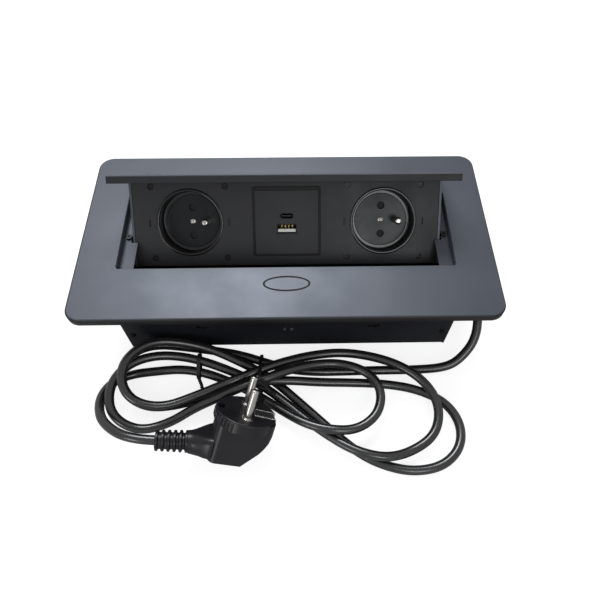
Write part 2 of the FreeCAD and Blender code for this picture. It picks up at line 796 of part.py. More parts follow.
def back_cover():
    """Shell behind the panel, stepped to pass under the frame's rear margin."""
    half = cheek_inner - small_gap
    shell = prism_x(cover_outline(0), -half, half)
    hollow = cover_outline(cover_wall)
    hollow[0] = (panel_back - 1, hollow[0][1])
    hollow[-1] = (panel_back - 1, hollow[-1][1])
    shell = shell.cut(prism_x(hollow, -half - 1, half + 1))
    entry = rod(4.2, (62.0, cover_rear - 3, module_bottom + 9), Y_AXIS, 5)
    slots = []
    for index in range(-3, 4):
        slots.append(box(index * 12.0 - 4, index * 12.0 + 4, cover_rear - 3, cover_rear + 1, 24, 26))
    return shell.cut(entry.fuse(slots))


# Sockets

def socket_body(centre):
    """Collar and round well, with a ledge round its floor that the disc is seated in."""
    collar = rod(collar_radius, (centre, panel_front - collar_rise, socket_z), Y_AXIS, collar_rise)
    collar = collar.makeChamfer(0.35, edges_where(collar, lambda e: e.BoundBox.YMax < panel_front - collar_rise + 0.01))
    well = rod(recess_radius + cup_wall, (centre, panel_front, socket_z), Y_AXIS, floor_back - panel_front)
    body = collar.fuse(well).removeSplitter()
    start = (centre, panel_front - collar_rise - 1, socket_z)
    reach = recess_depth + collar_rise + 1
    body = body.cut(rod(recess_radius, start, Y_AXIS, reach + disc_step))
    body = body.cut(rod(disc_radius + small_gap, start, Y_AXIS, reach + disc_thickness))
    return body.cut(rod(holder_radius + small_gap, start, Y_AXIS, reach + 10))


def socket_holder(centre):
    """Boss in the well's floor with a flange and a block behind it, which holds the contacts."""
    back = floor_front + disc_thickness
    block_half = pin_spacing / 2 + pin_hole_radius + contact_wall + 0.35
    boss = rod(holder_radius, (centre, back, socket_z), Y_AXIS, floor_back - back)
    flange = rod(recess_radius + cup_wall, (centre, floor_back, socket_z), Y_AXIS, 1.5)
    block = box(centre - 13.0, centre + 13.5, floor_back + 1.4, cover_rear - cover_wall - 0.4,
                socket_z - block_half, socket_z + block_half)
    body = boss.fuse([flange, block]).removeSplitter()
    pocket = box(centre - 11.4, centre + 3.7, back - 0.1, back + shutter_thickness + 0.2,
                 socket_z - 12.05, socket_z + 12.05)
    body = body.cut(pocket)
    for rise in (-pin_spacing / 2, pin_spacing / 2):
        body = body.cut(rod(pin_hole_radius + contact_wall + small_gap, (centre, back, socket_z + rise),
                            Y_AXIS, shutter_thickness + 0.6 + contact_length))
    body = body.cut(rod(earth_radius + small_gap, (centre + earth_offset, back - 0.1, socket_z), Y_AXIS, 6.1))
    return body.cut(rod(1.5 + small_gap, (centre, back - 0.1, socket_z), Y_AXIS, 9))


def socket_disc(centre):
    """Floor of the well, with two pin holes one above the other."""
    disc = rod(disc_radius, (centre, floor_front, socket_z), Y_AXIS, disc_thickness)
    disc = disc.makeChamfer(0.2, edges_where(disc, lambda e: e.BoundBox.YMax < floor_front + 0.01))
    for rise in (-pin_spacing / 2, pin_spacing / 2):
        disc = disc.cut(rod(pin_hole_radius, (centre, floor_front - 1, socket_z + rise), Y_AXIS, 4))
    disc = disc.cut(rod(earth_radius + small_gap, (centre + earth_offset, floor_front - 1, socket_z), Y_AXIS, 4))
    return disc.cut(rod(1.5 + small_gap, (centre, floor_front - 1, socket_z), Y_AXIS, 4))


def socket_shutter(centre):
    """C-shaped slide behind the floor that covers both pin holes."""
    y0 = floor_front + disc_thickness + 0.1
    bar = box(centre - 5.2, centre - 2.2, y0, y0 + shutter_thickness, socket_z - 11.9, socket_z + 11.9)
    low = box(centre - 3.2, centre + 3.2, y0, y0 + shutter_thickness, socket_z - 11.9, socket_z - 5.6)
    high = box(centre - 3.2, centre + 3.2, y0, y0 + shutter_thickness, socket_z + 5.6, socket_z + 11.9)
    return bar.fuse([low, high]).removeSplitter()


def earth_pin(centre):
    tip_y = floor_front - earth_length
    base_y = floor_front + disc_thickness + 5.9
    pin = rod(earth_radius, (centre + earth_offset, tip_y, socket_z), Y_AXIS, base_y - tip_y)
    return pin.makeFillet(1.6, edges_where(pin, lambda e: e.BoundBox.YMax < tip_y + 0.01))


def socket_contacts(centre):
    solids = []
    start_y = floor_front + disc_thickness + shutter_thickness + 0.5
    for rise in (-pin_spacing / 2, pin_spacing / 2):
        solids.append(tube(pin_hole_radius + contact_wall, pin_hole_radius,
                           (centre, start_y, socket_z + rise), Y_AXIS, contact_length))
    return group(solids)


def socket_screws():
    solids = []
    for centre in socket_centres():
        solids.append(screw((centre, floor_front - 1.3, socket_z), Y_AXIS, 2.7, 1.3, 1.5, 10.0))
    return group(solids)


# Charger

def slot_solid(width, height, x, y0, y1, z):
    """A stadium-shaped bar along Y."""
    bar = box(x - width / 2 + height / 2, x + width / 2 - height / 2, y0, y1, z - height / 2, z + height / 2)
    for side in (-1, 1):
        bar = bar.fuse(rod(height / 2, (x + side * (width / 2 - height / 2), y0, z), Y_AXIS, y1 - y0))
    return bar.removeSplitter()


def charger_bezel():
    middle = charger_middle()
    y0 = panel_front - charger_rise
    plate = box(-charger_half, charger_half, y0, y0 + charger_plate, middle - charger_half, middle + charger_half)
    plate = plate.makeFillet(1.0, edges_where(plate, lambda e: along(e, Y_AXIS)))
    plate = plate.makeChamfer(0.3, edges_where(plate, lambda e: e.BoundBox.YMax < y0 + 0.01))
    a_z = socket_z - usb_a_below
    c_z = socket_z + usb_c_above
    port_a = box(-usb_a_width / 2 - small_gap, usb_a_width / 2 + small_gap, y0 - 1, y0 + charger_plate + 1,
                 a_z - usb_a_height / 2 - small_gap, a_z + usb_a_height / 2 + small_gap)
    port_c = slot_solid(usb_c_width + 2 * small_gap, usb_c_height + 2 * small_gap, 0, y0 - 1,
                        y0 + charger_plate + 1, c_z)
    return plate.cut(port_a.fuse(port_c))


def charger_case():
    """Box behind the bezel for the charger's circuit board."""
    middle = charger_middle()
    y0 = panel_front - charger_rise + charger_plate
    y1 = step_back() - cover_wall - 0.3
    half = charger_half - 0.6
    case = box(-half, half, y0, y1, middle - half, middle + half)
    wide = charger_half + charger_flange
    case = case.fuse(box(-wide, wide, panel_back, panel_back + 1.2, middle - wide, middle + wide))
    inside = half - charger_wall
    return case.cut(box(-inside, inside, y0 - 1, y1 - charger_wall, middle - inside, middle + inside))


def charger_board():
    middle = charger_middle()
    y1 = step_back() - cover_wall - 0.3 - charger_wall
    half = charger_half - 0.6 - charger_wall - fit_gap
    return box(-half, half, y1 - 1.6, y1, middle - half, middle + half)


def charger_parts():
    """Transformer, capacitor and coil on the board."""
    board_y = step_back() - cover_wall - 0.3 - charger_wall - 1.6
    middle = charger_middle()
    side = charger_half - 8.2
    high = middle + charger_half - 11.2
    transformer = box(-side - 3.5, -side + 3.5, board_y - 8, board_y, high - 4, high + 4)
    capacitor = rod(3.2, (side, board_y - 9, high), Y_AXIS, 9)
    coil = rod(4.0, (side, board_y - 5, middle - charger_half + 10.2), Y_AXIS, 5)
    return group([transformer, capacitor, coil])


def usb_board_y():
    return step_back() - cover_wall - 0.3 - charger_wall - 1.6


def usb_a_shell():
    z = socket_z - usb_a_below
    y0 = panel_front - charger_rise
    outer = box(-usb_a_width / 2, usb_a_width / 2, y0, usb_board_y(), z - usb_a_height / 2, z + usb_a_height / 2)
    inner = box(-usb_a_width / 2 + usb_shell, usb_a_width / 2 - usb_shell, y0 - 1, usb_board_y() - 1.2,
                z - usb_a_height / 2 + usb_shell, z + usb_a_height / 2 - usb_shell)
    return outer.cut(inner)


def usb_a_tongue():
    """White tongue low in the port with its contacts facing up."""
    z = socket_z - usb_a_below
    low = z - usb_a_height / 2 + usb_shell
    half = usb_a_width / 2 - usb_shell - 0.35
    return box(-half, half, panel_front + 0.6, usb_board_y() - 1.2, low + tongue_low, low + tongue_top)


def usb_a_contacts():
    """Four strips along the top of the tongue, turned up at their rear ends."""
    z = socket_z - usb_a_below - usb_a_height / 2 + usb_shell + tongue_top
    y1 = panel_front + 9.0
    strips = []
    for x in (-3.6, -1.2, 1.2, 3.6):
        flat = box(x - 0.5, x + 0.5, panel_front + 0.8, y1, z, z + 0.25)
        strips.append(flat.fuse(box(x - 0.5, x + 0.5, y1 - 0.4, y1, z, z + 2.0)).removeSplitter())
    return group(strips)


def usb_c_shell():
    z = socket_z + usb_c_above
    y0 = panel_front - charger_rise
    outer = slot_solid(usb_c_width, usb_c_height, 0, y0, usb_board_y(), z)
    inner = slot_solid(usb_c_width - 2 * usb_shell, usb_c_height - 2 * usb_shell, 0, y0 - 1, usb_board_y() - 1.2, z)
    return outer.cut(inner)


def usb_c_tongue():
    z = socket_z + usb_c_above
    return box(-3.2, 3.2, panel_front + 0.6, usb_board_y() - 1.2, z - 0.4, z + 0.4)

# Mains lead: the route of its centre line, as laid in front of the tub

lead_out = [(128.5, -45, 29), (126.5, -60.5, 19.5), (116.5, -71, 11), (106, -75.5, 7), (84.5, -75.5, 4),
            (59.5, -75, 3), (35, -75.5, 3), (16, -76, 4), (-0.5, -74, 4.5), (-17, -68.5, 4.5)]
low_left_loop = [(-34, -62.5, 4.5), (-53, -59, 4.5), (-72, -57, 6.5), (-90.5, -56.5, 10), (-104, -62.5, 12.5),
                 (-111, -73.5, 12.5), (-110, -86, 10.5), (-103.5, -95, 7.5), (-92, -100, 5), (-78, -99.5, 4.5),
                 (-62.5, -96, 5), (-47.5, -91.5, 7), (-32, -88, 10), (-16.5, -85.5, 12)]
outer_right_loop = [(1, -85, 11), (21, -85, 7), (42.5, -84.5, 4.5), (64, -85, 3), (85.5, -89, 3),
                    (103.5, -98.5, 3.5), (111.5, -113.5, 4), (109, -129.5, 4), (96.5, -141, 3.5), (77.5, -144, 3),
                    (60, -140, 3), (45, -132.5, 3), (31, -120.5, 3), (17.5, -107.5, 3), (5.5, -96.5, 4),
                    (-6.5, -85.5, 4.5), (-18.5, -76.5, 5)]
upper_left_loop = [(-33.5, -69, 7), (-51.5, -62, 12), (-69.5, -59.5, 18), (-86.5, -60.5, 23.5), (-99, -67.5, 25.5),
                   (-106.5, -78.5, 25), (-106.5, -90, 22), (-101, -98.5, 18), (-91, -102.5, 14.5), (-78, -102, 11.5),
                   (-63, -96.5, 12), (-48, -91, 14), (-33, -85.5, 16.5), (-17.5, -79, 16.5)]
middle_right_loop = [(-0.5, -72.5, 15), (17, -67.5, 13), (36.5, -65, 11.5), (57, -68, 10.5), (74.5, -74.5, 10.5),
                     (88.5, -85, 10.5), (96.5, -98.5, 10), (97, -112, 8.5), (91, -124, 7), (76.5, -132.5, 6.5),
                     (62.5, -136.5, 9), (49, -135, 10.5), (36.5, -129.5, 9.5), (24.5, -121, 7.5),
                     (12.5, -111.5, 6), (-0.5, -100, 5.5), (-12.5, -89.5, 4.5)]
front_left_loop = [(-25, -81.5, 4), (-40, -74.5, 4.5), (-56.5, -69, 7.5), (-72.5, -66.5, 11.5), (-88, -67.5, 15.5),
                   (-102, -73, 18), (-111.5, -82.5, 18.5), (-115.5, -93.5, 16), (-113.5, -105.5, 12.5),
                   (-105, -113, 8.5), (-92.5, -115.5, 4.5), (-76, -110.5, 5), (-61.5, -102.5, 8.5), (-47, -98, 13.5),
                   (-31.5, -92.5, 17.5), (-16.5, -87.5, 19)]
inner_right_loop = [(-0.5, -80.5, 17.5), (16.5, -75, 14.5), (34.5, -73.5, 12.5), (50.5, -79.5, 13.5),
                    (59, -89.5, 14), (60, -101, 13.5), (55, -112, 13), (42.5, -120, 13), (26, -120.5, 15),
                    (11, -115.5, 13), (-3, -106, 9), (-16.5, -95.5, 5.5)]
lead_to_plug = [(-29, -87.5, 3), (-41, -81.5, 3), (-56, -76, 4.5), (-72.5, -73, 5), (-90.5, -73.5, 3),
                (-106, -75.5, 3.5), (-116.5, -81.5, 6), (-122, -91, 9), (-121.5, -103, 12.5),
                (-114.5, -115.5, 18)]


def plug_space(shape):
    """Turns a shape from the plug's own axes, pins along +Z and lead along -X, to where it lies."""
    moved = shape.copy()
    for axis, degrees in zip((X_AXIS, Y_AXIS, Z_AXIS), plug_turns):
        moved.rotate(V(0, 0, 0), axis, degrees)
    moved.translate(V(*plug_place) + V(0, lead_shift, 0))
    return moved


def relief_axis():
    """Which way the lead leaves the plug, in the plug's own axes."""
    return V(-math.cos(math.radians(relief_droop)), 0, -math.sin(math.radians(relief_droop)))


def relief_point(along_axis, lift=0.0):
    """A point on the relief's axis, or a little above or below it, in the plug's own axes."""
    return V(0, 0, -relief_depth + lift) + relief_axis() * along_axis


def lead_point(along_axis):
    return plug_space(Part.Vertex(relief_point(along_axis))).Point


def cord_route():
    points = [lead_start(), gland_mouth() + gland_axis() * 18.0]
    loops = [lead_out, low_left_loop, outer_right_loop, upper_left_loop, middle_right_loop,
             front_left_loop, inner_right_loop, lead_to_plug]
    for loop in loops:
        points += [V(*place) + V(0, lead_shift, 0) for place in loop]
    points.append(lead_point(relief_start + relief_length + 16.0))
    points.append(lead_point(relief_start + relief_length))
    return points


def rounded_path(points):
    """Straight runs joined by tangent arcs. Returns the edges, the smallest arc radius and the length."""
    edges = []
    last = points[0]
    smallest = 1000.0
    for before, corner, after in zip(points, points[1:], points[2:]):
        back = before - corner
        ahead = after - corner
        cut = arc_share * min(back.Length, ahead.Length)
        turn = math.pi - back.getAngle(ahead)
        radius = cut / math.tan(turn / 2)
        smallest = min(smallest, radius)
        start = corner + back.normalize() * cut
        stop = corner + ahead.normalize() * cut
        inward = (back + ahead).normalize()
        middle = corner + inward * (radius / math.cos(turn / 2) - radius)
        edges.append(Part.LineSegment(last, start).toShape())
        edges.append(Part.Arc(start, middle, stop).toShape())
        last = stop
    edges.append(Part.LineSegment(last, points[-1]).toShape())
    return edges, smallest, sum(edge.Length for edge in edges)


def closest_pass(edges):
    """Smallest gap between the lead's surface and itself, for places further apart along it than four diameters."""
    places = []
    travelled = 0.0
    for edge in edges:
        steps = max(2, int(edge.Length / 1.5))
        for point in edge.discretize(steps + 1)[:-1]:
            places.append((travelled + point.distanceToPoint(edge.valueAt(edge.FirstParameter)), point))
        travelled += edge.Length
    best = 1000.0
    for index, (first_at, first) in enumerate(places):
        for second_at, second in places[index + 1:]:
            if second_at - first_at > 8 * cord_radius:
                best = min(best, first.distanceToPoint(second))
    return best - 2 * cord_radius


def mains_cord():
    points = cord_route()
    edges, smallest, length = rounded_path(points)
    spine = Part.Wire(edges)
    start_way = (points[1] - points[0]).normalize()
    profile = Part.Wire([Part.Circle(points[0], start_way, cord_radius).toShape()])
    solid = spine.makePipeShell([profile], True, False)
    expected = math.pi * cord_radius ** 2 * length
    print("lead length", round(length, 1), "smallest radius", round(smallest, 1))
    print("lead gap to itself", round(closest_pass(edges), 2), "volume share", round(solid.Volume / expected, 4))
    return solid


def strain_relief():
    """Flexible sleeve on the lead at the plug, with six rings."""
    body = rod(relief_radius, relief_point(relief_start), relief_axis(), relief_length)
    pitch = (relief_length - 1.8) / 5
    rings = [rod(relief_ring_radius, relief_point(relief_start + index * pitch), relief_axis(), 1.8)
             for index in range(6)]
    return plug_space(body.fuse(rings).removeSplitter())


def plug_side_outline():
    return [(-17.2, -0.5), (plug_radius, -0.5), (plug_radius, -7), (16.6, -13), (14.1, -17.3), (11.9, -20.6),
            (3.6, -plug_depth + 1.3), (-14, -plug_depth), (-17.2, -plug_depth + 0.5)]


def plug_prism(half):
    wire = Part.makePolygon([V(x, -half, z) for x, z in plug_side_outline() + plug_side_outline()[:1]])
    return Part.Face(wire).extrude(V(0, 2 * half, 0))


def plug_body():
    """Round face with a block behind it and a tapered round neck to the side for the lead."""
    disc = rod(plug_radius, (0, 0, -7), Z_AXIS, 7)
    disc = disc.makeFillet(1.0, edges_where(disc, lambda e: e.BoundBox.ZMin > -0.01))
    block = box(-17.2, plug_radius - 0.4, -plug_half_thickness, plug_half_thickness, -plug_depth - 1, -1.5)
    block = block.makeFillet(6.0, edges_where(block, lambda e: along(e, Z_AXIS)))
    block = block.common(plug_prism(plug_half_thickness + 1))
    neck_start = relief_point(10.0, -1.9)
    neck_way = relief_point(relief_start) - neck_start
    neck = Part.makeCone(9.8, relief_ring_radius, neck_way.Length + 0.9, neck_start, neck_way)
    neck = neck.cut(rod(relief_ring_radius + 3, relief_point(relief_start), relief_axis(), 4))
    body = disc.fuse([block, neck]).removeSplitter()
    well = box(earth_clip_start, plug_radius + 1, -4.4, 4.4, -2.5, 1)
    low = box(-plug_radius - 1, -13.5, -2.6, 2.6, -9, 1)
    body = body.cut(well.fuse(low))
    return plug_space(body)


earth_clip_start = 4.5


def plug_pins():
    solids = []
    for side in (-1, 1):
        y = side * pin_spacing / 2
        pin = rod(plug_pin_radius, (0, y, 0), Z_AXIS, plug_pin_length)
        pin = pin.makeFillet(1.4, edges_where(pin, lambda e: e.BoundBox.ZMin > plug_pin_length - 0.01))
        solids.append(pin.fuse(rod(plug_pin_radius + 1.3, (0, y, 0), Z_AXIS, 0.6)).removeSplitter())
    return plug_space(group(solids))


def plug_earth_clips():
    """Two bright rails round the earth hole on the side away from the lead, and the clip on the near side."""
    outer = box(earth_clip_start + small_gap, plug_radius - 0.6, -4.35, 4.35, -2.45, 0.3)
    inner = box(earth_clip_start + 0.9, plug_radius, -3.65, 3.65, -3.5, 1)
    near = box(-plug_radius + 0.4, -plug_radius + 1.4, -2.5, 2.5, -8.9, -0.4)
    hook = box(-plug_radius + 0.4, -13.6, -2.5, 2.5, -8.9, -7.9)
    return plug_space(group([outer.cut(inner), near.fuse(hook).removeSplitter()]))


def belt(centres, inner, x0, x1):
    """Strap pulled round strands whose centres are given as (y, z), in turning order."""
    def hull(radius):
        shapes = [prism_x(centres, x0, x1)]
        for first, second in zip(centres, centres[1:] + centres[:1]):
            dy = second[0] - first[0]
            dz = second[1] - first[1]
            size = math.hypot(dy, dz)
            out_y = dz / size * radius
            out_z = -dy / size * radius
            shapes.append(prism_x([first, second, (second[0] + out_y, second[1] + out_z),
                                   (first[0] + out_y, first[1] + out_z)], x0, x1))
            shapes.append(rod(radius, (x0, first[0], first[1]), X_AXIS, x1 - x0))
        return shapes[0].fuse(shapes[1:]).removeSplitter()
    return hull(inner + tie_thickness).cut(hull(inner))


def cord_ties():
    """Two twist ties, each a strap round the strands with its twisted end."""
    middle = belt([(-79.4, 16.5), (-88.0, 18.9), (-95.0, 5.0), (-68.1, 4.8)], 4.0, -19.8, -19.8 + tie_width)
    middle_tail = rod(1.1, (-18.4, -91.6, 20.9), V(0.75, -0.6, -0.1).normalize(), 8)
    left = belt([(-68.3, 8.6), (-75.2, 4.8)], 4.0, -62.0, -62.0 + tie_width)
    left_tail = rod(1.1, (-60.7, -79.4, 5.4), V(0.35, -1.0, 0.05).normalize(), 9)
    ties = group([middle.fuse(middle_tail).removeSplitter(), left.fuse(left_tail).removeSplitter()])
    ties.translate(V(0, lead_shift, 0))
    return ties


def save_all():
    os.makedirs("parts", exist_ok=True)
    parts = {}
    parts["top_frame"] = cut_frame_for_screws(top_frame())
    parts["housing_tub"] = housing_tub()
    parts["front_rivets"] = front_rivets()
    parts["frame_screws"] = frame_screws()
    parts["housing_screws"] = housing_screws()
    parts["rail_screws"] = rail_screws()
    parts["torsion_spring"] = torsion_spring()
    parts["damper_body"] = damper_body()
    parts["damper_gear"] = damper_gear()
    parts["sector_gear"] = sector_gear()
    parts["latch_cam"] = latch_cam()
    parts["latch_stud"] = latch_stud()
    parts["cord_gland"] = cord_gland()
    parts["terminal_block"] = terminal_block()
    parts["terminal_screws"] = terminal_screws()
    parts["earth_stud"] = earth_stud()
    sides = {"left": -1, "right": 1}
    for name, side in sides.items():
        centre = side * socket_pitch / 2
        parts["end_plate_" + name] = end_plate(side)
        parts["side_rail_" + name] = side_rail(side)
        parts["pivot_bushing_" + name] = pivot_bushing(side)
        parts["cheek_" + name] = swung(cheek(side))
        parts["pivot_pin_" + name] = swung(pivot_pin(side))
        parts["socket_body_" + name] = swung(socket_body(centre))
        parts["socket_holder_" + name] = swung(socket_holder(centre))
        parts["socket_disc_" + name] = swung(socket_disc(centre))
        parts["socket_shutter_" + name] = swung(socket_shutter(centre))
        parts["earth_pin_" + name] = swung(earth_pin(centre))
        parts["socket_contacts_" + name] = swung(socket_contacts(centre))
    module = {"lid_plate": lid_plate, "lid_lip": lid_lip, "face_panel": face_panel, "back_cover": back_cover,
              "panel_screws": panel_screws, "socket_screws": socket_screws, "latch_striker": latch_striker,
              "charger_bezel": charger_bezel, "charger_case": charger_case, "charger_board": charger_board,
              "charger_parts": charger_parts, "usb_a_shell": usb_a_shell, "usb_a_tongue": usb_a_tongue,
              "usb_a_contacts": usb_a_contacts, "usb_c_shell": usb_c_shell, "usb_c_tongue": usb_c_tongue}
    for name, make in module.items():
        parts[name] = swung(make())
    lead = {"mains_cord": mains_cord, "strain_relief": strain_relief, "plug_body": plug_body,
            "plug_pins": plug_pins, "plug_earth_clips": plug_earth_clips, "cord_ties": cord_ties}
    for name, make in lead.items():
        parts[name] = make()
    for name, shape in parts.items():
        shape.exportStep("parts/" + name + ".step")
        print(name, len(shape.Solids), round(shape.Volume, 1), shape.isValid())
    print("nodes", len(parts))


save_all()
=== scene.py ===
import json
import math

import bmesh
import bpy
import numpy as np
from mathutils import Matrix, Vector

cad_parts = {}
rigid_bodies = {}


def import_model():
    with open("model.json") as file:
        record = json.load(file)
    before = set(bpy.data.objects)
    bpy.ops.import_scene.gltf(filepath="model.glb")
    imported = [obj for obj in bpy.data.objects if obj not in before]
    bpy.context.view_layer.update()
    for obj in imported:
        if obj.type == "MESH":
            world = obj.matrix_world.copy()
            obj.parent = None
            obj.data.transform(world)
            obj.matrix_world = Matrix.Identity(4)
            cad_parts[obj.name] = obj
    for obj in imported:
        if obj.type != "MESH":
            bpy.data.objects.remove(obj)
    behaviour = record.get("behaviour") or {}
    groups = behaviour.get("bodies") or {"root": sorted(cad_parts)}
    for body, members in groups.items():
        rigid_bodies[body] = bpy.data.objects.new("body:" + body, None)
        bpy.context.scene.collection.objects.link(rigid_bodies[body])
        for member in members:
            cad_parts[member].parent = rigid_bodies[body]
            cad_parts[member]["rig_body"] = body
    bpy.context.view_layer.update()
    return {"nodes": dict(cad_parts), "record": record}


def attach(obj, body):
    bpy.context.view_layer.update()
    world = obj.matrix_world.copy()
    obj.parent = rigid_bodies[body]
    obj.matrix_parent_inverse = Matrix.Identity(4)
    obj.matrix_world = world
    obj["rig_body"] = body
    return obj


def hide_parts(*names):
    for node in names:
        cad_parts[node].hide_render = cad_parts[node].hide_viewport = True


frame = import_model()

MM = 0.001
PHOTO_PIXELS = 616
node_slot = {part["node"]: part["material_slot"] for part in frame["record"]["subparts"]}


# Camera, at the photograph's viewing angle

def photograph_camera():
    """Camera axes: a look down by the pitch, turned about Z by the heading, then rolled about the line of sight."""
    focal_pixels = 540.91
    pitch = math.radians(59.112)
    heading = math.radians(-1.682)
    roll = math.radians(0.75)
    turn = Matrix.Rotation(heading, 3, "Z")
    forward = turn @ Vector((0, math.cos(pitch), -math.sin(pitch)))
    up = turn @ Vector((0, math.sin(pitch), math.cos(pitch)))
    right = turn @ Vector((1, 0, 0))
    rolled_right = right * math.cos(roll) + up * math.sin(roll)
    rolled_up = up * math.cos(roll) - right * math.sin(roll)
    data = bpy.data.cameras.new("photograph_camera")
    data.sensor_fit = "HORIZONTAL"
    data.sensor_width = 36.0
    data.lens = focal_pixels / PHOTO_PIXELS * data.sensor_width
    data.clip_start = 0.01
    camera = bpy.data.objects.new("photograph_camera", data)
    axes = Matrix((rolled_right, rolled_up, -forward)).transposed().to_4x4()
    camera.matrix_world = Matrix.Translation((0.00799, -0.22779, 0.34282)) @ axes
    bpy.context.scene.collection.objects.link(camera)
    bpy.context.scene.camera = camera


photograph_camera()


# Mains lead: the route of its centre line in millimetres, from the gland to the plug

gland_start = [(108.55, -7.15, 36), (126.65, -25.25, 36)]
lead_out = [(128.5, -45, 29), (126.5, -60.5, 19.5), (116.5, -71, 11), (106, -75.5, 7), (84.5, -75.5, 4),
            (59.5, -75, 3), (35, -75.5, 3), (16, -76, 4), (-0.5, -74, 4.5), (-17, -68.5, 4.5)]
low_left_loop = [(-34, -62.5, 4.5), (-53, -59, 4.5), (-72, -57, 6.5), (-90.5, -56.5, 10), (-104, -62.5, 12.5),
                 (-111, -73.5, 12.5), (-110, -86, 10.5), (-103.5, -95, 7.5), (-92, -100, 5), (-78, -99.5, 4.5),
                 (-62.5, -96, 5), (-47.5, -91.5, 7), (-32, -88, 10), (-16.5, -85.5, 12)]
outer_right_loop = [(1, -85, 11), (21, -85, 7), (42.5, -84.5, 4.5), (64, -85, 3), (85.5, -89, 3),
                    (103.5, -98.5, 3.5), (111.5, -113.5, 4), (109, -129.5, 4), (96.5, -141, 3.5), (77.5, -144, 3),
                    (60, -140, 3), (45, -132.5, 3), (31, -120.5, 3), (17.5, -107.5, 3), (5.5, -96.5, 4),
                    (-6.5, -85.5, 4.5), (-18.5, -76.5, 5)]
upper_left_loop = [(-33.5, -69, 7), (-51.5, -62, 12), (-69.5, -59.5, 18), (-86.5, -60.5, 23.5), (-99, -67.5, 25.5),
                   (-106.5, -78.5, 25), (-106.5, -90, 22), (-101, -98.5, 18), (-91, -102.5, 14.5), (-78, -102, 11.5),
                   (-63, -96.5, 12), (-48, -91, 14), (-33, -85.5, 16.5), (-17.5, -79, 16.5)]
middle_right_loop = [(-0.5, -72.5, 15), (17, -67.5, 13), (36.5, -65, 11.5), (57, -68, 10.5), (74.5, -74.5, 10.5),
                     (88.5, -85, 10.5), (96.5, -98.5, 10), (97, -112, 8.5), (91, -124, 7), (76.5, -132.5, 6.5),
                     (62.5, -136.5, 9), (49, -135, 10.5), (36.5, -129.5, 9.5), (24.5, -121, 7.5),
                     (12.5, -111.5, 6), (-0.5, -100, 5.5), (-12.5, -89.5, 4.5)]
front_left_loop = [(-25, -81.5, 4), (-40, -74.5, 4.5), (-56.5, -69, 7.5), (-72.5, -66.5, 11.5), (-88, -67.5, 15.5),
                   (-102, -73, 18), (-111.5, -82.5, 18.5), (-115.5, -93.5, 16), (-113.5, -105.5, 12.5),
                   (-105, -113, 8.5), (-92.5, -115.5, 4.5), (-76, -110.5, 5), (-61.5, -102.5, 8.5), (-47, -98, 13.5),
                   (-31.5, -92.5, 17.5), (-16.5, -87.5, 19)]
inner_right_loop = [(-0.5, -80.5, 17.5), (16.5, -75, 14.5), (34.5, -73.5, 12.5), (50.5, -79.5, 13.5),
                    (59, -89.5, 14), (60, -101, 13.5), (55, -112, 13), (42.5, -120, 13), (26, -120.5, 15),
                    (11, -115.5, 13), (-3, -106, 9), (-16.5, -95.5, 5.5)]
lead_to_plug = [(-29, -87.5, 3), (-41, -81.5, 3), (-56, -76, 4.5), (-72.5, -73, 5), (-90.5, -73.5, 3),
                (-106, -75.5, 3.5), (-116.5, -81.5, 6), (-122, -91, 9), (-121.5, -103, 12.5),
                (-114.5, -115.5, 18), (-95.617, -127.48, 24.957), (-79.806, -127.546, 22.505)]
LEAD_RADIUS = 3.0


def mains_lead():
    """One smooth line of the third order on the route's points, with a round sheath on it."""
    route = (gland_start + lead_out + low_left_loop + outer_right_loop + upper_left_loop + middle_right_loop
             + front_left_loop + inner_right_loop + lead_to_plug)
    curve = bpy.data.curves.new("lead", "CURVE")
    curve.dimensions = "3D"
    line = curve.splines.new("NURBS")
    line.points.add(len(route) - 1)
    for point, place in zip(line.points, route):
        point.co = (place[0] * MM, place[1] * MM, place[2] * MM, 1.0)
    line.order_u = 3
    line.use_endpoint_u = True
    line.resolution_u = 8
    curve.bevel_depth = LEAD_RADIUS * MM
    curve.bevel_resolution = 6
    curve.use_fill_caps = True
    lead = bpy.data.objects.new("lead", curve)
    bpy.context.scene.collection.objects.link(lead)
    return lead


# Shared material effects

def new_group(name, inputs, outputs):
    """An empty node group with float or vector sockets, and its input and output nodes."""
    group = bpy.data.node_groups.new(name, "ShaderNodeTree")
    for label, kind, value in inputs:
        socket = group.interface.new_socket(name=label, in_out="INPUT", socket_type=kind)
        if value is not None:
            socket.default_value = value
    for label, kind in outputs:
        group.interface.new_socket(name=label, in_out="OUTPUT", socket_type=kind)
    nodes = group.nodes
    return group, nodes.new("NodeGroupInput"), nodes.new("NodeGroupOutput")


def add(tree, kind, settings=None, values=None):
    """A node with its settings and with its input values, by name or by number."""
    node = tree.nodes.new(kind)
    for key, value in (settings or {}).items():
        setattr(node, key, value)
    for key, value in (values or {}).items():
        node.inputs[key].default_value = value
    return node


def math_node(tree, operation, first, second=None, clamp=False):
    """A math node; each operand is a socket or a number."""
    node = add(tree, "ShaderNodeMath", {"operation": operation, "use_clamp": clamp})
    for index, operand in enumerate((first, second)):
        if operand is None:
            continue
        if isinstance(operand, bpy.types.NodeSocket):
            tree.links.new(operand, node.inputs[index])
        else:
            node.inputs[index].default_value = operand
    return node.outputs[0]


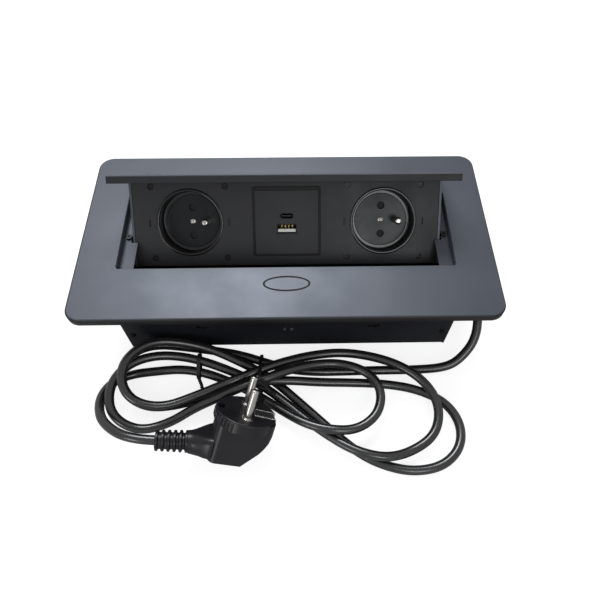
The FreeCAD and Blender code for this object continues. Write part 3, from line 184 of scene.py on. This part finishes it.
def grain_group():
    """Two sizes of noise added: fine for the height of a textured surface, wide for slow changes of shade."""
    group, start, end = new_group(
        "moulded_grain",
        [("Fine Scale", "NodeSocketFloat", 2500.0), ("Wide Scale", "NodeSocketFloat", 30.0)],
        [("Height", "NodeSocketFloat"), ("Shade", "NodeSocketFloat")])
    where = add(group, "ShaderNodeTexCoord")
    fine = add(group, "ShaderNodeTexNoise", values={"Detail": 2.0, "Roughness": 0.6})
    wide = add(group, "ShaderNodeTexNoise", values={"Detail": 4.0, "Roughness": 0.55})
    for texture, label in ((fine, "Fine Scale"), (wide, "Wide Scale")):
        group.links.new(where.outputs["Object"], texture.inputs["Vector"])
        group.links.new(start.outputs[label], texture.inputs["Scale"])
    group.links.new(fine.outputs["Fac"], end.inputs["Height"])
    group.links.new(wide.outputs["Fac"], end.inputs["Shade"])
    return group


def edge_group():
    """Where the surface turns sharply outwards, from the difference between its normal and a rounded one."""
    group, start, end = new_group(
        "rubbed_edges",
        [("Width", "NodeSocketFloat", 0.0004), ("Break Up", "NodeSocketFloat", 400.0)],
        [("Mask", "NodeSocketFloat")])
    rounded = add(group, "ShaderNodeBevel", {"samples": 4})
    plain = add(group, "ShaderNodeNewGeometry")
    where = add(group, "ShaderNodeTexCoord")
    patch = add(group, "ShaderNodeTexNoise", values={"Detail": 3.0})
    group.links.new(start.outputs["Width"], rounded.inputs["Radius"])
    group.links.new(start.outputs["Break Up"], patch.inputs["Scale"])
    group.links.new(where.outputs["Object"], patch.inputs["Vector"])
    dot = add(group, "ShaderNodeVectorMath", {"operation": "DOT_PRODUCT"})
    group.links.new(rounded.outputs["Normal"], dot.inputs[0])
    group.links.new(plain.outputs["Normal"], dot.inputs[1])
    turned = math_node(group, "SUBTRACT", 1.0, dot.outputs["Value"])
    strong = math_node(group, "MULTIPLY", turned, 6.0, clamp=True)
    broken = math_node(group, "MULTIPLY", strong, patch.outputs["Fac"], clamp=True)
    group.links.new(broken, end.inputs["Mask"])
    return group


grain = grain_group()
edges = edge_group()


def finish_material(name, base, roughness, metallic=0.0, shade=0.12, rough_change=0.08, fine=2500.0, wide=30.0,
                    bump=0.15, depth=0.00002, edge=None, edge_width=0.0004, coat=0.0, coat_roughness=0.03,
                    specular=0.5):
    """A surface whose shade and gloss change slowly, with a fine grain in its height and paler rubbed edges."""
    material = bpy.data.materials.new(name)
    material.use_nodes = True
    tree = material.node_tree
    shader = tree.nodes["Principled BSDF"]
    shader.inputs["Metallic"].default_value = metallic
    shader.inputs["Specular IOR Level"].default_value = specular
    shader.inputs["Coat Weight"].default_value = coat
    shader.inputs["Coat Roughness"].default_value = coat_roughness
    texture = add(tree, "ShaderNodeGroup", {"node_tree": grain},
                  {"Fine Scale": fine, "Wide Scale": wide})
    ramp = add(tree, "ShaderNodeMapRange", values={"From Min": 0.3, "From Max": 0.7,
                                                   "To Min": 1.0 - shade, "To Max": 1.0 + shade})
    tree.links.new(texture.outputs["Shade"], ramp.inputs["Value"])
    colour = add(tree, "ShaderNodeMix", {"data_type": "RGBA", "blend_type": "MULTIPLY"})
    colour.inputs["Factor"].default_value = 1.0
    colour.inputs["A"].default_value = (*base, 1.0)
    tree.links.new(ramp.outputs["Result"], colour.inputs["B"])
    result = colour.outputs["Result"]
    if edge is not None:
        rubbed = add(tree, "ShaderNodeGroup", {"node_tree": edges}, {"Width": edge_width})
        worn = add(tree, "ShaderNodeMix", {"data_type": "RGBA"})
        tree.links.new(rubbed.outputs["Mask"], worn.inputs["Factor"])
        tree.links.new(result, worn.inputs["A"])
        worn.inputs["B"].default_value = (*edge, 1.0)
        result = worn.outputs["Result"]
    tree.links.new(result, shader.inputs["Base Color"])
    gloss = add(tree, "ShaderNodeMapRange", values={"From Min": 0.3, "From Max": 0.7,
                                                    "To Min": roughness - rough_change,
                                                    "To Max": roughness + rough_change})
    tree.links.new(texture.outputs["Shade"], gloss.inputs["Value"])
    tree.links.new(gloss.outputs["Result"], shader.inputs["Roughness"])
    raised = add(tree, "ShaderNodeBump", values={"Strength": bump, "Distance": depth})
    tree.links.new(texture.outputs["Height"], raised.inputs["Height"])
    tree.links.new(raised.outputs["Normal"], shader.inputs["Normal"])
    return material


materials = {
    "slate_anodised": finish_material("slate_anodised", (0.094, 0.106, 0.130), 0.38, metallic=0.3, shade=0.05,
                                      fine=5000.0, wide=18.0, bump=0.35, edge=(0.20, 0.22, 0.26)),
    "lid_charcoal": finish_material("lid_charcoal", (0.015, 0.0155, 0.0185), 0.52, shade=0.08,
                                    edge=(0.06, 0.06, 0.07)),
    "panel_charcoal": finish_material("panel_charcoal", (0.024, 0.0247, 0.028), 0.48, shade=0.1, fine=3500.0,
                                      bump=0.3, edge=(0.05, 0.05, 0.055)),
    "black_steel": finish_material("black_steel", (0.013, 0.014, 0.019), 0.4, shade=0.12, fine=3000.0, bump=0.3,
                                   edge=(0.05, 0.05, 0.055)),
    # this dark finish also goes on the metal USB shells as painted shade for the shade inside their ports
    "dark_fastener": finish_material("dark_fastener", (0.03, 0.03, 0.032), 0.35, metallic=0.8,
                                     edge=(0.12, 0.12, 0.12)),
    "bright_steel": finish_material("bright_steel", (0.62, 0.61, 0.58), 0.28, metallic=1.0, shade=0.06),
    "black_nylon": finish_material("black_nylon", (0.014, 0.014, 0.015), 0.45),
    "gear_nylon": finish_material("gear_nylon", (0.55, 0.54, 0.5), 0.42),
    "socket_charcoal": finish_material("socket_charcoal", (0.008, 0.0085, 0.010), 0.2, shade=0.08, coat=0.3,
                                       edge=(0.06, 0.06, 0.065)),
    "socket_floor_grey": finish_material("socket_floor_grey", (0.0055, 0.007, 0.0105), 0.32, shade=0.12,
                                         specular=0.4),
    # shutters' own grey darkened to near black: painted shade for the depth of the pin holes
    "shutter_grey": finish_material("shutter_grey", (0.004, 0.004, 0.005), 0.6),
    "plated_pin": finish_material("plated_pin", (0.72, 0.70, 0.66), 0.22, metallic=1.0, shade=0.08),
    "contact_brass": finish_material("contact_brass", (0.55, 0.40, 0.16), 0.32, metallic=1.0),
    "charger_black": finish_material("charger_black", (0.014, 0.0142, 0.0165), 0.44, fine=3500.0, bump=0.25,
                                     edge=(0.05, 0.05, 0.055)),
    "board_green": finish_material("board_green", (0.02, 0.12, 0.04), 0.4),
    "usb_white": finish_material("usb_white", (0.95, 0.94, 0.90), 0.4, shade=0.03),
    "cord_black": finish_material("cord_black", (0.009, 0.009, 0.010), 0.3, shade=0.1, rough_change=0.05,
                                  fine=1500.0, wide=120.0, coat=1.0, coat_roughness=0.2, specular=0.8),
    "plug_black": finish_material("plug_black", (0.016, 0.0155, 0.0185), 0.32, shade=0.1, fine=2500.0, bump=0.25),
    "tie_black": finish_material("tie_black", (0.012, 0.012, 0.013), 0.5),
}


def put(piece, slot_name, body, *nodes):
    """Gives a finished piece its material and body, and hides the CAD nodes it stands for."""
    piece.data.materials.clear()
    piece.data.materials.append(materials[slot_name])
    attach(piece, body)
    if nodes:
        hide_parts(*nodes)
    return piece


def dressed(node, soften=0.2, sharp=32.0):
    """A CAD node's shape with its corners joined, its flat faces whole, its sharp edges rounded and curves smooth."""
    source = frame["nodes"][node]
    mesh = source.data.copy()
    mesh.name = node + "_skin"
    shape = bmesh.new()
    shape.from_mesh(mesh)
    bmesh.ops.remove_doubles(shape, verts=shape.verts, dist=2e-6)
    bmesh.ops.dissolve_limit(shape, angle_limit=math.radians(0.6), verts=shape.verts, edges=shape.edges)
    shape.to_mesh(mesh)
    shape.free()
    mesh.shade_smooth()
    mesh.set_sharp_from_angle(angle=math.radians(sharp))
    piece = bpy.data.objects.new(node + "_skin", mesh)
    bpy.context.scene.collection.objects.link(piece)
    if soften > 0:
        mesh.set_sharp_from_angle(angle=math.radians(180))
        bevel = piece.modifiers.new("rounded_edges", "BEVEL")
        bevel.width = soften * MM
        bevel.segments = 2
        bevel.limit_method = "ANGLE"
        bevel.angle_limit = math.radians(sharp)
        bevel.use_clamp_overlap = True
        flat = piece.modifiers.new("flat_faces", "WEIGHTED_NORMAL")
        flat.keep_sharp = True
    return put(piece, node_slot[node], source["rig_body"], node)


lead = put(mains_lead(), "cord_black", "housing", "mains_cord")


# Surfaces made from rows of points, in millimetres

def turned(axis, degrees):
    return np.array(Matrix.Rotation(math.radians(degrees), 3, axis))


PIVOT = np.array([0.0, 41.5, 41.0])
SOCKET_X = 63.8
SOCKET_Z = 32.1
PANEL_FACE = -1.5
FLOOR_FACE = 10.5
CHARGER_FACE = -1.3
CHARGER_HALF = 21.2
FRAME_HALF_WIDTH = 133.0
FRAME_HALF_DEPTH = 67.0
FRAME_CORNER = 9.0
OVAL_CENTRE_Y = -42.6
OVAL_HALF_LENGTH = 14.5
OVAL_HALF_WIDTH = 5.5
SLOT_X = 57
RELIEF_DROOP = math.radians(10.7)
RELIEF_DEPTH = -22.7
RELIEF_START = 29.6
OPENED = turned("X", -45.0)
CHARGER_MIDDLE = 31.5
PLUG_PLACE = np.array([-24.52, -112.84, 30.7])
PLUG_TURN = turned("Z", -7.7) @ turned("Y", 16.67) @ turned("X", -43.7)


def swung(points):
    """Points carried with the module from closed to open."""
    return (points - PIVOT) @ OPENED.T + PIVOT


def in_plug(points):
    """Points given in the plug's own axes, pins along +Z and lead along -X, moved to where it lies."""
    return points @ PLUG_TURN.T + PLUG_PLACE


def surface(name, grids, sharp=38.0):
    """One mesh of several grids of points; each grid is closed along its rows, its columns or both."""
    places = []
    faces = []
    offset = 0
    for points, loop_rows, loop_columns, capped in grids:
        count, width = points.shape[:2]
        places.append(points.reshape(-1, 3))
        row_end = count if loop_rows else count - 1
        column_end = width if loop_columns else width - 1
        for row in range(row_end):
            following = (row + 1) % count
            for column in range(column_end):
                beside = (column + 1) % width
                faces.append((offset + row * width + column, offset + row * width + beside,
                              offset + following * width + beside, offset + following * width + column))
        if capped:
            faces.append(tuple(offset + column for column in reversed(range(width))))
            faces.append(tuple(offset + (count - 1) * width + column for column in range(width)))
        offset += count * width
    mesh = bpy.data.meshes.new(name)
    mesh.from_pydata((np.concatenate(places) * MM).tolist(), [], faces)
    shape = bmesh.new()
    shape.from_mesh(mesh)
    bmesh.ops.recalc_face_normals(shape, faces=shape.faces)
    shape.to_mesh(mesh)
    shape.free()
    mesh.shade_smooth()
    mesh.set_sharp_from_angle(angle=math.radians(sharp))
    piece = bpy.data.objects.new(name, mesh)
    bpy.context.scene.collection.objects.link(piece)
    return piece


def lathe(profile, start, axis, across, steps=128):
    """A profile of (radius, distance along the axis) carried round the axis."""
    axis = np.array(axis, float)
    across = np.array(across, float)
    third = np.cross(axis, across)
    angles = np.linspace(0, 2 * math.pi, steps, endpoint=False)
    ring = np.cos(angles)[:, None] * across + np.sin(angles)[:, None] * third
    rows = [np.array(start, float) + axis * along + ring * radius for radius, along in profile]
    return np.array(rows)


def sweep(path, section):
    """A closed section of (across, up) offsets carried along a path and kept upright."""
    path = np.array(path, float)
    ahead = np.gradient(path, axis=0)
    ahead /= np.linalg.norm(ahead, axis=1)[:, None]
    up = np.tile(np.array((0.0, 0.0, 1.0)), (len(path), 1))
    across = np.cross(ahead, up)
    across /= np.linalg.norm(across, axis=1)[:, None]
    up = np.cross(across, ahead)
    section = np.array(section, float)
    return path[:, None, :] + section[None, :, :1] * across[:, None, :] + section[None, :, 1:] * up[:, None, :]


def round_section(radius, steps=12):
    angles = np.linspace(0, 2 * math.pi, steps, endpoint=False)
    return np.stack([np.cos(angles) * radius, np.sin(angles) * radius], 1)


def oval_inlay():
    """Thin ring whose middle line is an ellipse and whose section is a low rounded bar, laid in its groove."""
    angles = np.linspace(0, 2 * math.pi, 160, endpoint=False)
    rows = []
    for inset, height in ((-0.3, 62.76), (-0.3, 63.0), (-0.15, 63.05), (0.85, 63.05), (1.0, 63.0), (1.0, 62.76)):
        rows.append(np.stack([np.cos(angles) * (OVAL_HALF_LENGTH - inset),
                              OVAL_CENTRE_Y + np.sin(angles) * (OVAL_HALF_WIDTH - inset),
                              np.full(160, height)], 1))
    return surface("oval_inlay", [(np.array(rows), True, True, False)], 60)


def socket_well(side):
    """Collar with a rounded lip standing a little off the panel, a straight wall and the ledge round its floor."""
    profile = [(21.25, 0.0), (21.25, -0.2), (21.95, -0.22), (22.05, -0.34), (21.9, -0.52), (21.55, -0.64),
               (21.0, -0.68), (20.5, -0.62), (20.15, -0.42), (20.02, -0.1), (20.0, 1.0), (20.0, 12.2),
               (19.85, 12.5), (19.5, 12.6), (17.87, 12.6), (17.85, 13.35), (17.06, 13.4), (17.05, 14.88),
               (21.28, 14.88), (21.28, 2.0)]
    rows = lathe(profile, (side * SOCKET_X, PANEL_FACE, SOCKET_Z), (0, 1, 0), (1, 0, 0), 144)
    name = "socket_well_" + ("right" if side > 0 else "left")
    return surface(name, [(swung(rows), True, True, False)], 50)


def relief_sleeve():
    """Sleeve round the lead at the plug: rounded rings with grooves between them, thinner towards the free end."""
    way = np.array([-math.cos(RELIEF_DROOP), 0, -math.sin(RELIEF_DROOP)])
    start = np.array([0, 0, RELIEF_DEPTH]) + way * RELIEF_START
    profile = [(3.0, 0.0), (6.6, 0.0)]
    for index in range(6):
        base = index * 3.54
        outer = 6.8 - 0.09 * index
        for step, fraction in ((0.05, 0.93), (0.3, 0.99), (0.9, 1.0), (1.5, 0.99), (1.75, 0.93), (1.95, 0.8)):
            profile.append((outer * fraction, base + step))
        if index < 5:
            profile.append((5.1, base + 2.3))
            profile.append((5.1, base + 3.2))
    profile += [(5.0, 19.5), (3.0, 19.5)]
    rows = lathe(profile, start, way, (0, 1, 0), 72)
    return surface("relief_sleeve", [(in_plug(rows), True, True, False)], 40)


def plug_grip():
    """Low half-round ridges side by side on the edge of the plug's face, away from the earth rails."""
    grids = []
    for degrees in range(118, 249, 9):
        angle = math.radians(degrees)
        out = np.array([math.cos(angle), math.sin(angle), 0])
        beside = np.array([-math.sin(angle), math.cos(angle), 0])
        rows = []
        for depth, size in ((-1.1, 0.02), (-1.5, 0.8), (-2.5, 1.0), (-5.0, 1.0), (-6.3, 0.8), (-6.8, 0.02)):
            bend = np.linspace(0, math.pi, 9)
            rows.append(np.array([out * (18.5 + 0.9 * size * math.sin(turn)) + beside * 0.75 * math.cos(turn)
                                  + np.array([0, 0, depth]) for turn in bend]))
        grids.append((in_plug(np.array(rows)), False, True, True))
    return surface("plug_grip", grids, 50)


def strap_loop(centres, radius, x):
    """Points round a pulled strap: an arc about each strand centre, joined by straight runs."""
    places = []
    count = len(centres)
    for index in range(count):
        before = np.array(centres[index - 1])
        here = np.array(centres[index])
        after = np.array(centres[(index + 1) % count])
        first = math.atan2(-(here - before)[0], (here - before)[1])
        last = math.atan2(-(after - here)[0], (after - here)[1])
        if last < first:
            last += 2 * math.pi
        for angle in np.linspace(first, last, 12):
            places.append((x, here[0] + radius * math.cos(angle), here[1] + radius * math.sin(angle)))
    return np.array(places)


def twisted_tail(path, radius, turns):
    """Two strands wound round one another along a bent line."""
    path = np.array(path, float)
    steps = 60
    share = np.linspace(0, 1, steps)
    knots = np.linspace(0, 1, len(path))
    line = np.stack([np.interp(share, knots, path[:, axis]) for axis in range(3)], 1)
    grids = []
    for phase in (0.0, math.pi):
        ahead = np.gradient(line, axis=0)
        ahead /= np.linalg.norm(ahead, axis=1)[:, None]
        across = np.cross(ahead, (0, 0, 1))
        across /= np.linalg.norm(across, axis=1)[:, None]
        over = np.cross(across, ahead)
        angle = phase + share * turns * 2 * math.pi
        wound = line + radius * 0.9 * (np.cos(angle)[:, None] * across + np.sin(angle)[:, None] * over)
        grids.append((sweep(wound, round_section(radius, 10)), False, True, True))
    return grids


def twist_ties():
    """Two flat straps pulled round the strands, each with its ends wound together."""
    flat = [(-1.1, -0.28), (-0.45, -0.4), (0.0, -0.3), (0.45, -0.4), (1.1, -0.28), (1.1, 0.28), (0.45, 0.42),
            (0.0, 0.3), (-0.45, 0.42), (-1.1, 0.28)]
    grids = []
    for centres, x, lean in (([(-79.4, 16.5), (-88.0, 18.9), (-95.0, 5.0), (-68.1, 4.8)], -18.5, 0.6),
                             ([(-68.3, 8.6), (-75.2, 4.8)], -60.7, 0.8)):
        loop = strap_loop(centres, 4.4, x)
        loop[:, 0] += lean * 0.4 * np.sin(np.linspace(0, 2 * math.pi, len(loop)))
        ahead = np.roll(loop, -1, axis=0) - np.roll(loop, 1, axis=0)
        ahead /= np.linalg.norm(ahead, axis=1)[:, None]
        side = np.array([1.0, 0, 0]) - ahead * ahead[:, :1]
        side /= np.linalg.norm(side, axis=1)[:, None]
        over = np.cross(side, ahead)
        section = np.array(flat)
        grids.append((loop[:, None, :] + section[None, :, :1] * side[:, None, :]
                      + section[None, :, 1:] * over[:, None, :], True, True, False))
    grids += twisted_tail([(-18.6, -90.8, 22.2), (-16.2, -92.4, 22.6), (-13.8, -94.0, 21.8), (-11.6, -96.6, 20.2)],
                          0.75, 3.5)
    grids += twisted_tail([(-18.2, -89.6, 23.0), (-15.4, -91.0, 24.0), (-13.6, -93.4, 23.2), (-13.8, -95.8, 21.6)],
                          0.6, 2.5)
    grids += twisted_tail([(-60.7, -79.2, 5.2), (-59.8, -82.0, 5.6), (-58.4, -85.0, 5.4), (-57.6, -88.2, 5.0)],
                          0.65, 3.0)
    return surface("twist_ties", grids, 60)


def rounded_rectangle(left, right, low, high, radius, steps=10):
    """Points round a rectangle whose corners are quarter circles."""
    places = []
    for across, along, first in ((right - radius, high - radius, 0.0), (left + radius, high - radius, 90.0),
                                 (left + radius, low + radius, 180.0), (right - radius, low + radius, 270.0)):
        for degrees in np.linspace(first, first + 90.0, steps):
            angle = math.radians(degrees)
            places.append((across + radius * math.cos(angle), along + radius * math.sin(angle)))
    return np.array(places)


def frame_edge_painted_shade():
    """Black band laid over the frame plate's side face as painted shade for that shaded face, following its rounded
    corners.
    """
    rows = []
    for out, height in ((-0.4, 57.2), (0.5, 57.3), (0.7, 57.6), (0.7, 61.8), (0.5, 62.2), (-0.3, 62.45)):
        loop = rounded_rectangle(-FRAME_HALF_WIDTH - out, FRAME_HALF_WIDTH + out, -FRAME_HALF_DEPTH - out,
                                 FRAME_HALF_DEPTH + out, FRAME_CORNER + out, 14)
        rows.append(np.column_stack([loop, np.full(len(loop), height)]))
    return surface("frame_edge_painted_shade", [(np.array(rows), True, True, False)], 60)


def charger_painted_shade_band():
    """Black band round the charger, painted shade for the shadow along its top, wider above it than beside and below
    it, with its front edge rounded.
    """
    rows = []
    for out, depth in ((-0.15, -1.2), (-0.15, -1.56), (0.05, -1.66), (0.8, -1.66), (1.0, -1.58), (1.0, -1.4)):
        side = CHARGER_HALF + max(out, 0.0) * 1.4 + min(out, 0.0)
        top = CHARGER_MIDDLE + CHARGER_HALF + max(out, 0.0) * 2.6 + min(out, 0.0)
        bottom = CHARGER_MIDDLE - CHARGER_HALF - max(out, 0.0) * 0.8 - min(out, 0.0)
        loop = rounded_rectangle(-side, side, bottom, top, 1.2 + max(out, 0.0))
        rows.append(np.column_stack([loop[:, 0], np.full(len(loop), depth), loop[:, 1]]))
    return surface("charger_painted_shade_band", [(swung(np.array(rows)), True, True, False)], 50)


def socket_screw_heads():
    """Domed heads with a pressed cross: the height falls with the square of the radius and dips along two arms."""
    grids = []
    angles = np.linspace(0, 2 * math.pi, 72, endpoint=False)
    for side in (-1, 1):
        rows = []
        for radius in (0.02, 0.15, 0.3, 0.45, 0.6, 0.75, 0.9, 1.05, 1.2, 1.35, 1.5, 1.65, 1.75, 1.8, 1.8):
            across = radius * np.cos(angles)
            upward = radius * np.sin(angles)
            near = np.minimum(np.abs(across), np.abs(upward))
            far = np.maximum(np.abs(across), np.abs(upward))
            dip = np.exp(-(near / 0.26) ** 4) * np.clip((1.25 - far) / 0.3, 0, 1)
            height = 1.25 - 0.14 * radius ** 2 - 0.65 * dip
            rows.append(np.column_stack([side * SOCKET_X + across, FLOOR_FACE - height, SOCKET_Z + upward]))
        rows[-1][:, 1] = FLOOR_FACE + 0.1
        grids.append((swung(np.array(rows)), False, True, True))
    return surface("socket_screw_heads", grids, 40)


def slot_shade():
    """Shallow dished covers behind the two oval holes of the tub's front wall, near black as painted shade for the
    dark inside of the holes.
    """
    grids = []
    for side in (-1, 1):
        rows = []
        for grow, depth in ((0.9, -51.79), (0.9, -51.45), (0.2, -51.25), (-2.9, -51.2)):
            loop = rounded_rectangle(side * SLOT_X - 4.5 - grow, side * SLOT_X + 4.5 + grow, 24 - grow, 30 + grow,
                                     2.95 + grow)
            rows.append(np.column_stack([loop[:, 0], np.full(len(loop), depth), loop[:, 1]]))
        grids.append((np.array(rows), False, True, False))
    return surface("slot_shade", grids, 60)


def plug_shoulder():
    """Skin from the plug's squarish side to the round start of its sleeve, rounder and narrower on the way."""
    end_run = RELIEF_START + 0.1
    first = np.array([-15.0, 0.0, -24.3])
    last = np.array([-math.cos(RELIEF_DROOP) * end_run, 0.0, RELIEF_DEPTH - math.sin(RELIEF_DROOP) * end_run])
    angles = np.linspace(0, 2 * math.pi, 64, endpoint=False)
    rows = []
    for share in np.linspace(0, 1, 16):
        eased = share * share * (3 - 2 * share)
        power = 2.0 / (4.5 - 2.5 * eased)
        wide = 12.3 - 5.55 * eased
        tall = 7.6 - 0.85 * eased
        tilt = RELIEF_DROOP * share
        across = wide * np.sign(np.cos(angles)) * np.abs(np.cos(angles)) ** power
        upward = tall * np.sign(np.sin(angles)) * np.abs(np.sin(angles)) ** power
        centre = first + (last - first) * share
        rows.append(centre + across[:, None] * np.array([0.0, 1.0, 0.0])
                    + upward[:, None] * np.array([-math.sin(tilt), 0.0, math.cos(tilt)]))
    return surface("plug_shoulder", [(in_plug(np.array(rows)), False, True, True)], 50)


def status_dot():
    """Small domed light window low on the charger's face."""
    profile = [(0.02, -0.16), (0.3, -0.14), (0.6, -0.06), (0.75, 0.06), (0.75, 0.3), (0.02, 0.3)]
    rows = lathe(profile, (0, CHARGER_FACE, SOCKET_Z - 11.4), (0, 1, 0), (1, 0, 0), 32)
    return surface("status_dot", [(swung(rows), False, True, True)], 50)


put(oval_inlay(), "shutter_grey", "housing")
put(socket_well(-1), "socket_charcoal", "module", "socket_body_left")
put(socket_well(1), "socket_charcoal", "module", "socket_body_right")
put(relief_sleeve(), "plug_black", "housing", "strain_relief")
put(plug_grip(), "plug_black", "housing")
put(twist_ties(), "tie_black", "housing", "cord_ties")
put(status_dot(), "socket_charcoal", "module")
put(socket_screw_heads(), "plated_pin", "module", "socket_screws")
put(frame_edge_painted_shade(), "black_nylon", "housing")
put(charger_painted_shade_band(), "shutter_grey", "module")
put(slot_shade(), "black_nylon", "housing")
put(plug_shoulder(), "plug_black", "housing")

made = {"mains_cord", "socket_body_left", "socket_body_right", "strain_relief", "cord_ties", "socket_screws"}
softened = {"top_frame": 0.25, "lid_plate": 0.12, "lid_lip": 0.3, "face_panel": 0.12, "housing_tub": 0.2,
            "end_plate_left": 0.25, "end_plate_right": 0.25, "side_rail_left": 0.2, "side_rail_right": 0.2,
            "cheek_left": 0.15, "cheek_right": 0.15, "plug_body": 0.9, "plug_pins": 0.25, "earth_pin_left": 0.3,
            "earth_pin_right": 0.3, "socket_disc_left": 0.15, "socket_disc_right": 0.15, "cord_gland": 0.3,
            "charger_bezel": 0.25, "usb_a_tongue": 0.2, "plug_earth_clips": 0.2}
for name, node in frame["nodes"].items():
    node.data.materials.clear()
    node.data.materials.append(materials[node_slot[name]])
for name in frame["nodes"]:
    if name not in made:
        dressed(name, softened.get(name, 0.1))


# Floor, backdrop and light

def floor():
    """A pale plane under the object that keeps its shadow and is white to the camera."""
    mesh = bpy.data.meshes.new("floor")
    half = 3.0
    mesh.from_pydata([(-half, -half, 0), (half, -half, 0), (half, half, 0), (-half, half, 0)], [], [(0, 1, 2, 3)])
    plane = bpy.data.objects.new("floor", mesh)
    bpy.context.scene.collection.objects.link(plane)
    material = bpy.data.materials.new("pale_floor")
    material.use_nodes = True
    tree = material.node_tree
    shader = tree.nodes["Principled BSDF"]
    shader.inputs["Base Color"].default_value = (0.45, 0.45, 0.46, 1.0)
    shader.inputs["Roughness"].default_value = 0.9
    shader.inputs["Specular IOR Level"].default_value = 0.1
    shader.inputs["Emission Color"].default_value = (1, 1, 1, 1)
    path = add(tree, "ShaderNodeLightPath")
    seen = math_node(tree, "MAXIMUM", path.outputs["Is Camera Ray"], path.outputs["Is Transmission Ray"])
    tree.links.new(math_node(tree, "MULTIPLY", seen, 0.82), shader.inputs["Emission Strength"])
    mesh.materials.append(material)


def soft_lamp(name, place, target, size, power, colour=(1, 1, 1)):
    data = bpy.data.lights.new(name, "AREA")
    data.shape = "RECTANGLE"
    data.size = size[0]
    data.size_y = size[1]
    data.energy = power
    data.color = colour
    lamp = bpy.data.objects.new(name, data)
    lamp.location = place
    lamp.rotation_euler = (Vector(target) - Vector(place)).to_track_quat("-Z", "Y").to_euler()
    bpy.context.scene.collection.objects.link(lamp)


def room_light():
    world = bpy.data.worlds.new("room")
    bpy.context.scene.world = world
    world.use_nodes = True
    tree = world.node_tree
    background = tree.nodes["Background"]
    path = add(tree, "ShaderNodeLightPath")
    seen = math_node(tree, "MAXIMUM", path.outputs["Is Camera Ray"], path.outputs["Is Transmission Ray"])
    strength = math_node(tree, "MAXIMUM", seen, 0.40)
    tree.links.new(strength, background.inputs["Strength"])
    background.inputs["Color"].default_value = (1, 1, 1, 1)


floor()
room_light()
soft_lamp("window", (-0.19, 0.78, 1.3), (0, 0, 0.05), (0.85, 0.55), 11.0, (0.95, 0.97, 1.0))
soft_lamp("front_fill", (0.30, -1.0, 0.88), (0, 0, 0.05), (0.35, 0.5), 1.8, (0.96, 0.98, 1.0))
soft_lamp("left_fill", (-0.55, -0.75, 0.35), (-0.03, -0.06, 0.03), (0.3, 0.3), 0.8)

bpy.context.scene.view_settings.view_transform = "Standard"
